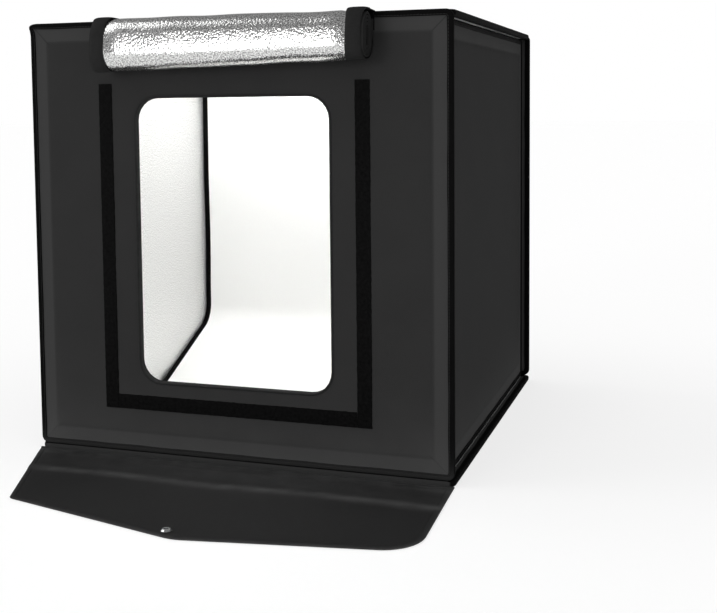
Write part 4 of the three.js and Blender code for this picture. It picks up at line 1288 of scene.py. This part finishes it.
def flap_panel(name, reach_from, reach_to, cad_node):
    """One panel of the flap, between two distances from the root."""
    ring, flat, triangles = flap_pattern(reach_from, reach_to)
    hem, reach = edge_distance(flat, whole_flap), ROOT_Y - flat[:, 1]
    top = flap_height(flat, hem, reach)
    bottom = np.maximum(top - FLAP_CLOTH - 0.4, 0.05) + np.interp(hem, [0, 0.6, 1.6], [0.7, 0.2, 0])
    bottom = np.minimum(bottom, top - 0.3)
    # wear and painted light, as the flap's colour mark
    wear = {"wear": flap_wear_and_light(flat, hem, reach)}
    panel = closed_panel(name, flat, triangles, top, bottom, on_floor, [soft_nylon], wear)
    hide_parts(cad_node)
    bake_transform(panel)
    size = (np.ptp(ring[:, 0]) * MM, np.ptp(ring[:, 1]) * MM)
    0.5 * abs(double_area(ring)) * MM * MM


flap_panel("flap_spine_cloth", 0.0, SPINE_DEPTH, "flap_spine")
flap_panel("flap_tongue_cloth", SPINE_DEPTH, APEX_REACH, "flap_tongue")
low, high = box_mm("flap_root_tape")
section = [(low[1], 0.1), (low[1] - 0.2, 1.6), (low[1] + 0.5, 2.5),
           (high[1] - 0.4, 2.7), (high[1], 2.2), (high[1], 0.1)]
# the root tape gets painted light at the foot of the front
root = sewn_tape("flap_root_tape_sewn", (low[0], high[0]), 90, section, (0.25, 25, 71, 1), front_foot_light)
dress(root, "flap_root_tape", slot="black_binding")
print("flap: two panels and the root tape")

# %% [markdown]
# ## Backdrop
# The white sheet hangs from a tape under the roof, falls in front of the back wall, bends at its foot and runs
# down to the floor and forward. It is one smooth sheet, so its section is carried across the tent, with a
# slight slackness. A black tape binds each side.

# %% Backdrop sheet and its bound edges
PVC, BACKDROP_EDGE = 0.8, 1.6
HANG_Y, HEADER_DEPTH, HEADER_BEND = 213.0, 18, 6
FOOT_BEND, LANDING_BEND = ((HANG_Y, 97), 43), 150
LANDING_Y = 8
SLACK, SLACK_WAVE, SLACK_FROM, SLACK_TO, SLACK_RISE = 1.2, 260, 30, 480, 80
low, high = box_mm("backdrop_sheet")
ceiling, floor_z, front_end = high[2] - PVC / 2, low[2] + PVC / 2, low[1]
section_path, section_run = even_path(rounded_path([
    ((HANG_Y + HEADER_DEPTH, ceiling), 0), ((HANG_Y, ceiling), HEADER_BEND), FOOT_BEND,
    ((LANDING_Y, floor_z), LANDING_BEND), ((front_end, floor_z), 0)], steps=24), 8.0)
normals = offsets(section_path)


def hung_strip(name, low, high, thickness, columns, material):
    """A strip of the hanging sheet, as wide as a CAD node."""
    xs = np.linspace(low[0], high[0], columns)
    rings = []
    for (y, z), normal, run in zip(section_path, normals, section_run):
        free = np.clip(min(run - SLACK_FROM, SLACK_TO - run) / SLACK_RISE, 0, 1)
        off = SLACK * free * smooth_noise(np.column_stack([xs, np.full(columns, run)]), SLACK_WAVE, 81)
        off = np.concatenate([off + thickness / 2, off[::-1] - thickness / 2])
        rings.append(np.column_stack([[*xs, *xs[::-1]], y + normal[0] * off, z + normal[1] * off]))
    return band(name, rings, [material], along=section_run)


backdrop = hung_strip("backdrop_pvc_sheet", low, high, PVC, 40, white_pvc)
dress(backdrop, "backdrop_sheet", slot="white_sheet")
for side in ("left", "right"):
    cad_node = f"backdrop_binding_{side}"
    edge = hung_strip(f"{cad_node}_tape", *box_mm(cad_node), BACKDROP_EDGE, 5, binding_tape)
    dress(edge, cad_node, slot="black_binding")
print(f"backdrop: {section_run[-1]:.0f} mm from its header to its front edge")

# %% [markdown]
# ## Hatch
# A loose flap of the two cloths closes the hole in the roof. It lies on a ring of loop tape, so its edge
# stands a little higher there, and its middle sags a hair into the hole.

# %% Hatch flap and its landing tape
HATCH_HEM = [(0, -0.5), (0.7, -0.15), (2, 0.1), (6, 0.15), (7.2, -0.2), (8.4, 0.05), (14, 0.0)]
HATCH_CLOTHS = {  # its foot over the roof, its material, its slot and whether it is hemmed
    "cover_cloth": (3.2, soft_nylon, "black_nylon", 1), "lining_film": (2.1, wall_film, "silver_lining", 0)}
LANDING_SECTION = [  # distance out from the hole's edge, height over the roof
    (3.3, 1.3), (3.3, 2.1), (4.3, 2.55), (7, 2.6), (11, 2.5), (15, 2.6), (18.2, 2.5), (19.3, 2.1), (19.3, 1.3)]
HATCH_SAG, HATCH_WAVES = 0.9, 0.5
HATCH_STEP, HATCH_CLEAR = 9, 18
roof = walls["roof"]
half_u, half_v, radius, centre = roof.opening
hatch_u, hatch_v = half_u + HATCH_LAP, half_v + HATCH_LAP
hatch = (hatch_u, hatch_v, HATCH_CORNER, centre)
rings = [outline(hatch_u - i, hatch_v - i, HATCH_CORNER - i, 8, centre)[0] for i, _ in HATCH_HEM]
grid = np.array([(u, v) for u in np.arange(-hatch_u, hatch_u, HATCH_STEP)
                 for v in np.arange(centre - hatch_v, centre + hatch_v, HATCH_STEP)])
grid = grid[distance_inside(grid, *hatch) > HATCH_CLEAR]
flat, triangles = triangulate(rings, [], grid, lambda centres: distance_inside(centres, *hatch) > 0)
inset = distance_inside(flat, *hatch)
waves = HATCH_WAVES * smooth_noise(flat, 80, 91) * np.clip((centre + hatch_v - flat[:, 1]) / 60, 0, 1)
sag = HATCH_SAG * np.clip((inset - 30) / 40, 0, 1)
for name, (foot, material, slot, hemmed) in HATCH_CLOTHS.items():
    low_face = foot + waves - sag
    high_face = low_face + CLOTH + hemmed * np.interp(inset, *zip(*HATCH_HEM))
    piece = closed_panel(f"hatch_{name}", flat, triangles, high_face, low_face, roof.place, [material])
    dress(piece, f"hatch_{name.split('_')[0]}", slot=slot)
points, normals, _ = outline(half_u, half_v, radius, 6, centre)
ragged = RAGGED * smooth_noise(points, RAGGED_WAVE, 95)
rings = np.stack([
    roof.place(points + normals * (out + ragged * (1 if out > 10 else -1))[:, None], np.full(len(points), height))
    for out, height in LANDING_SECTION], axis=1)
landing = band("hatch_landing_tape_pile", rings, [loop_pile], loop=True)
dress(landing, "hatch_landing_tape", slot="hook_and_loop")
print("hatch:", round(2 * hatch_u), "x", round(2 * hatch_v), "mm")
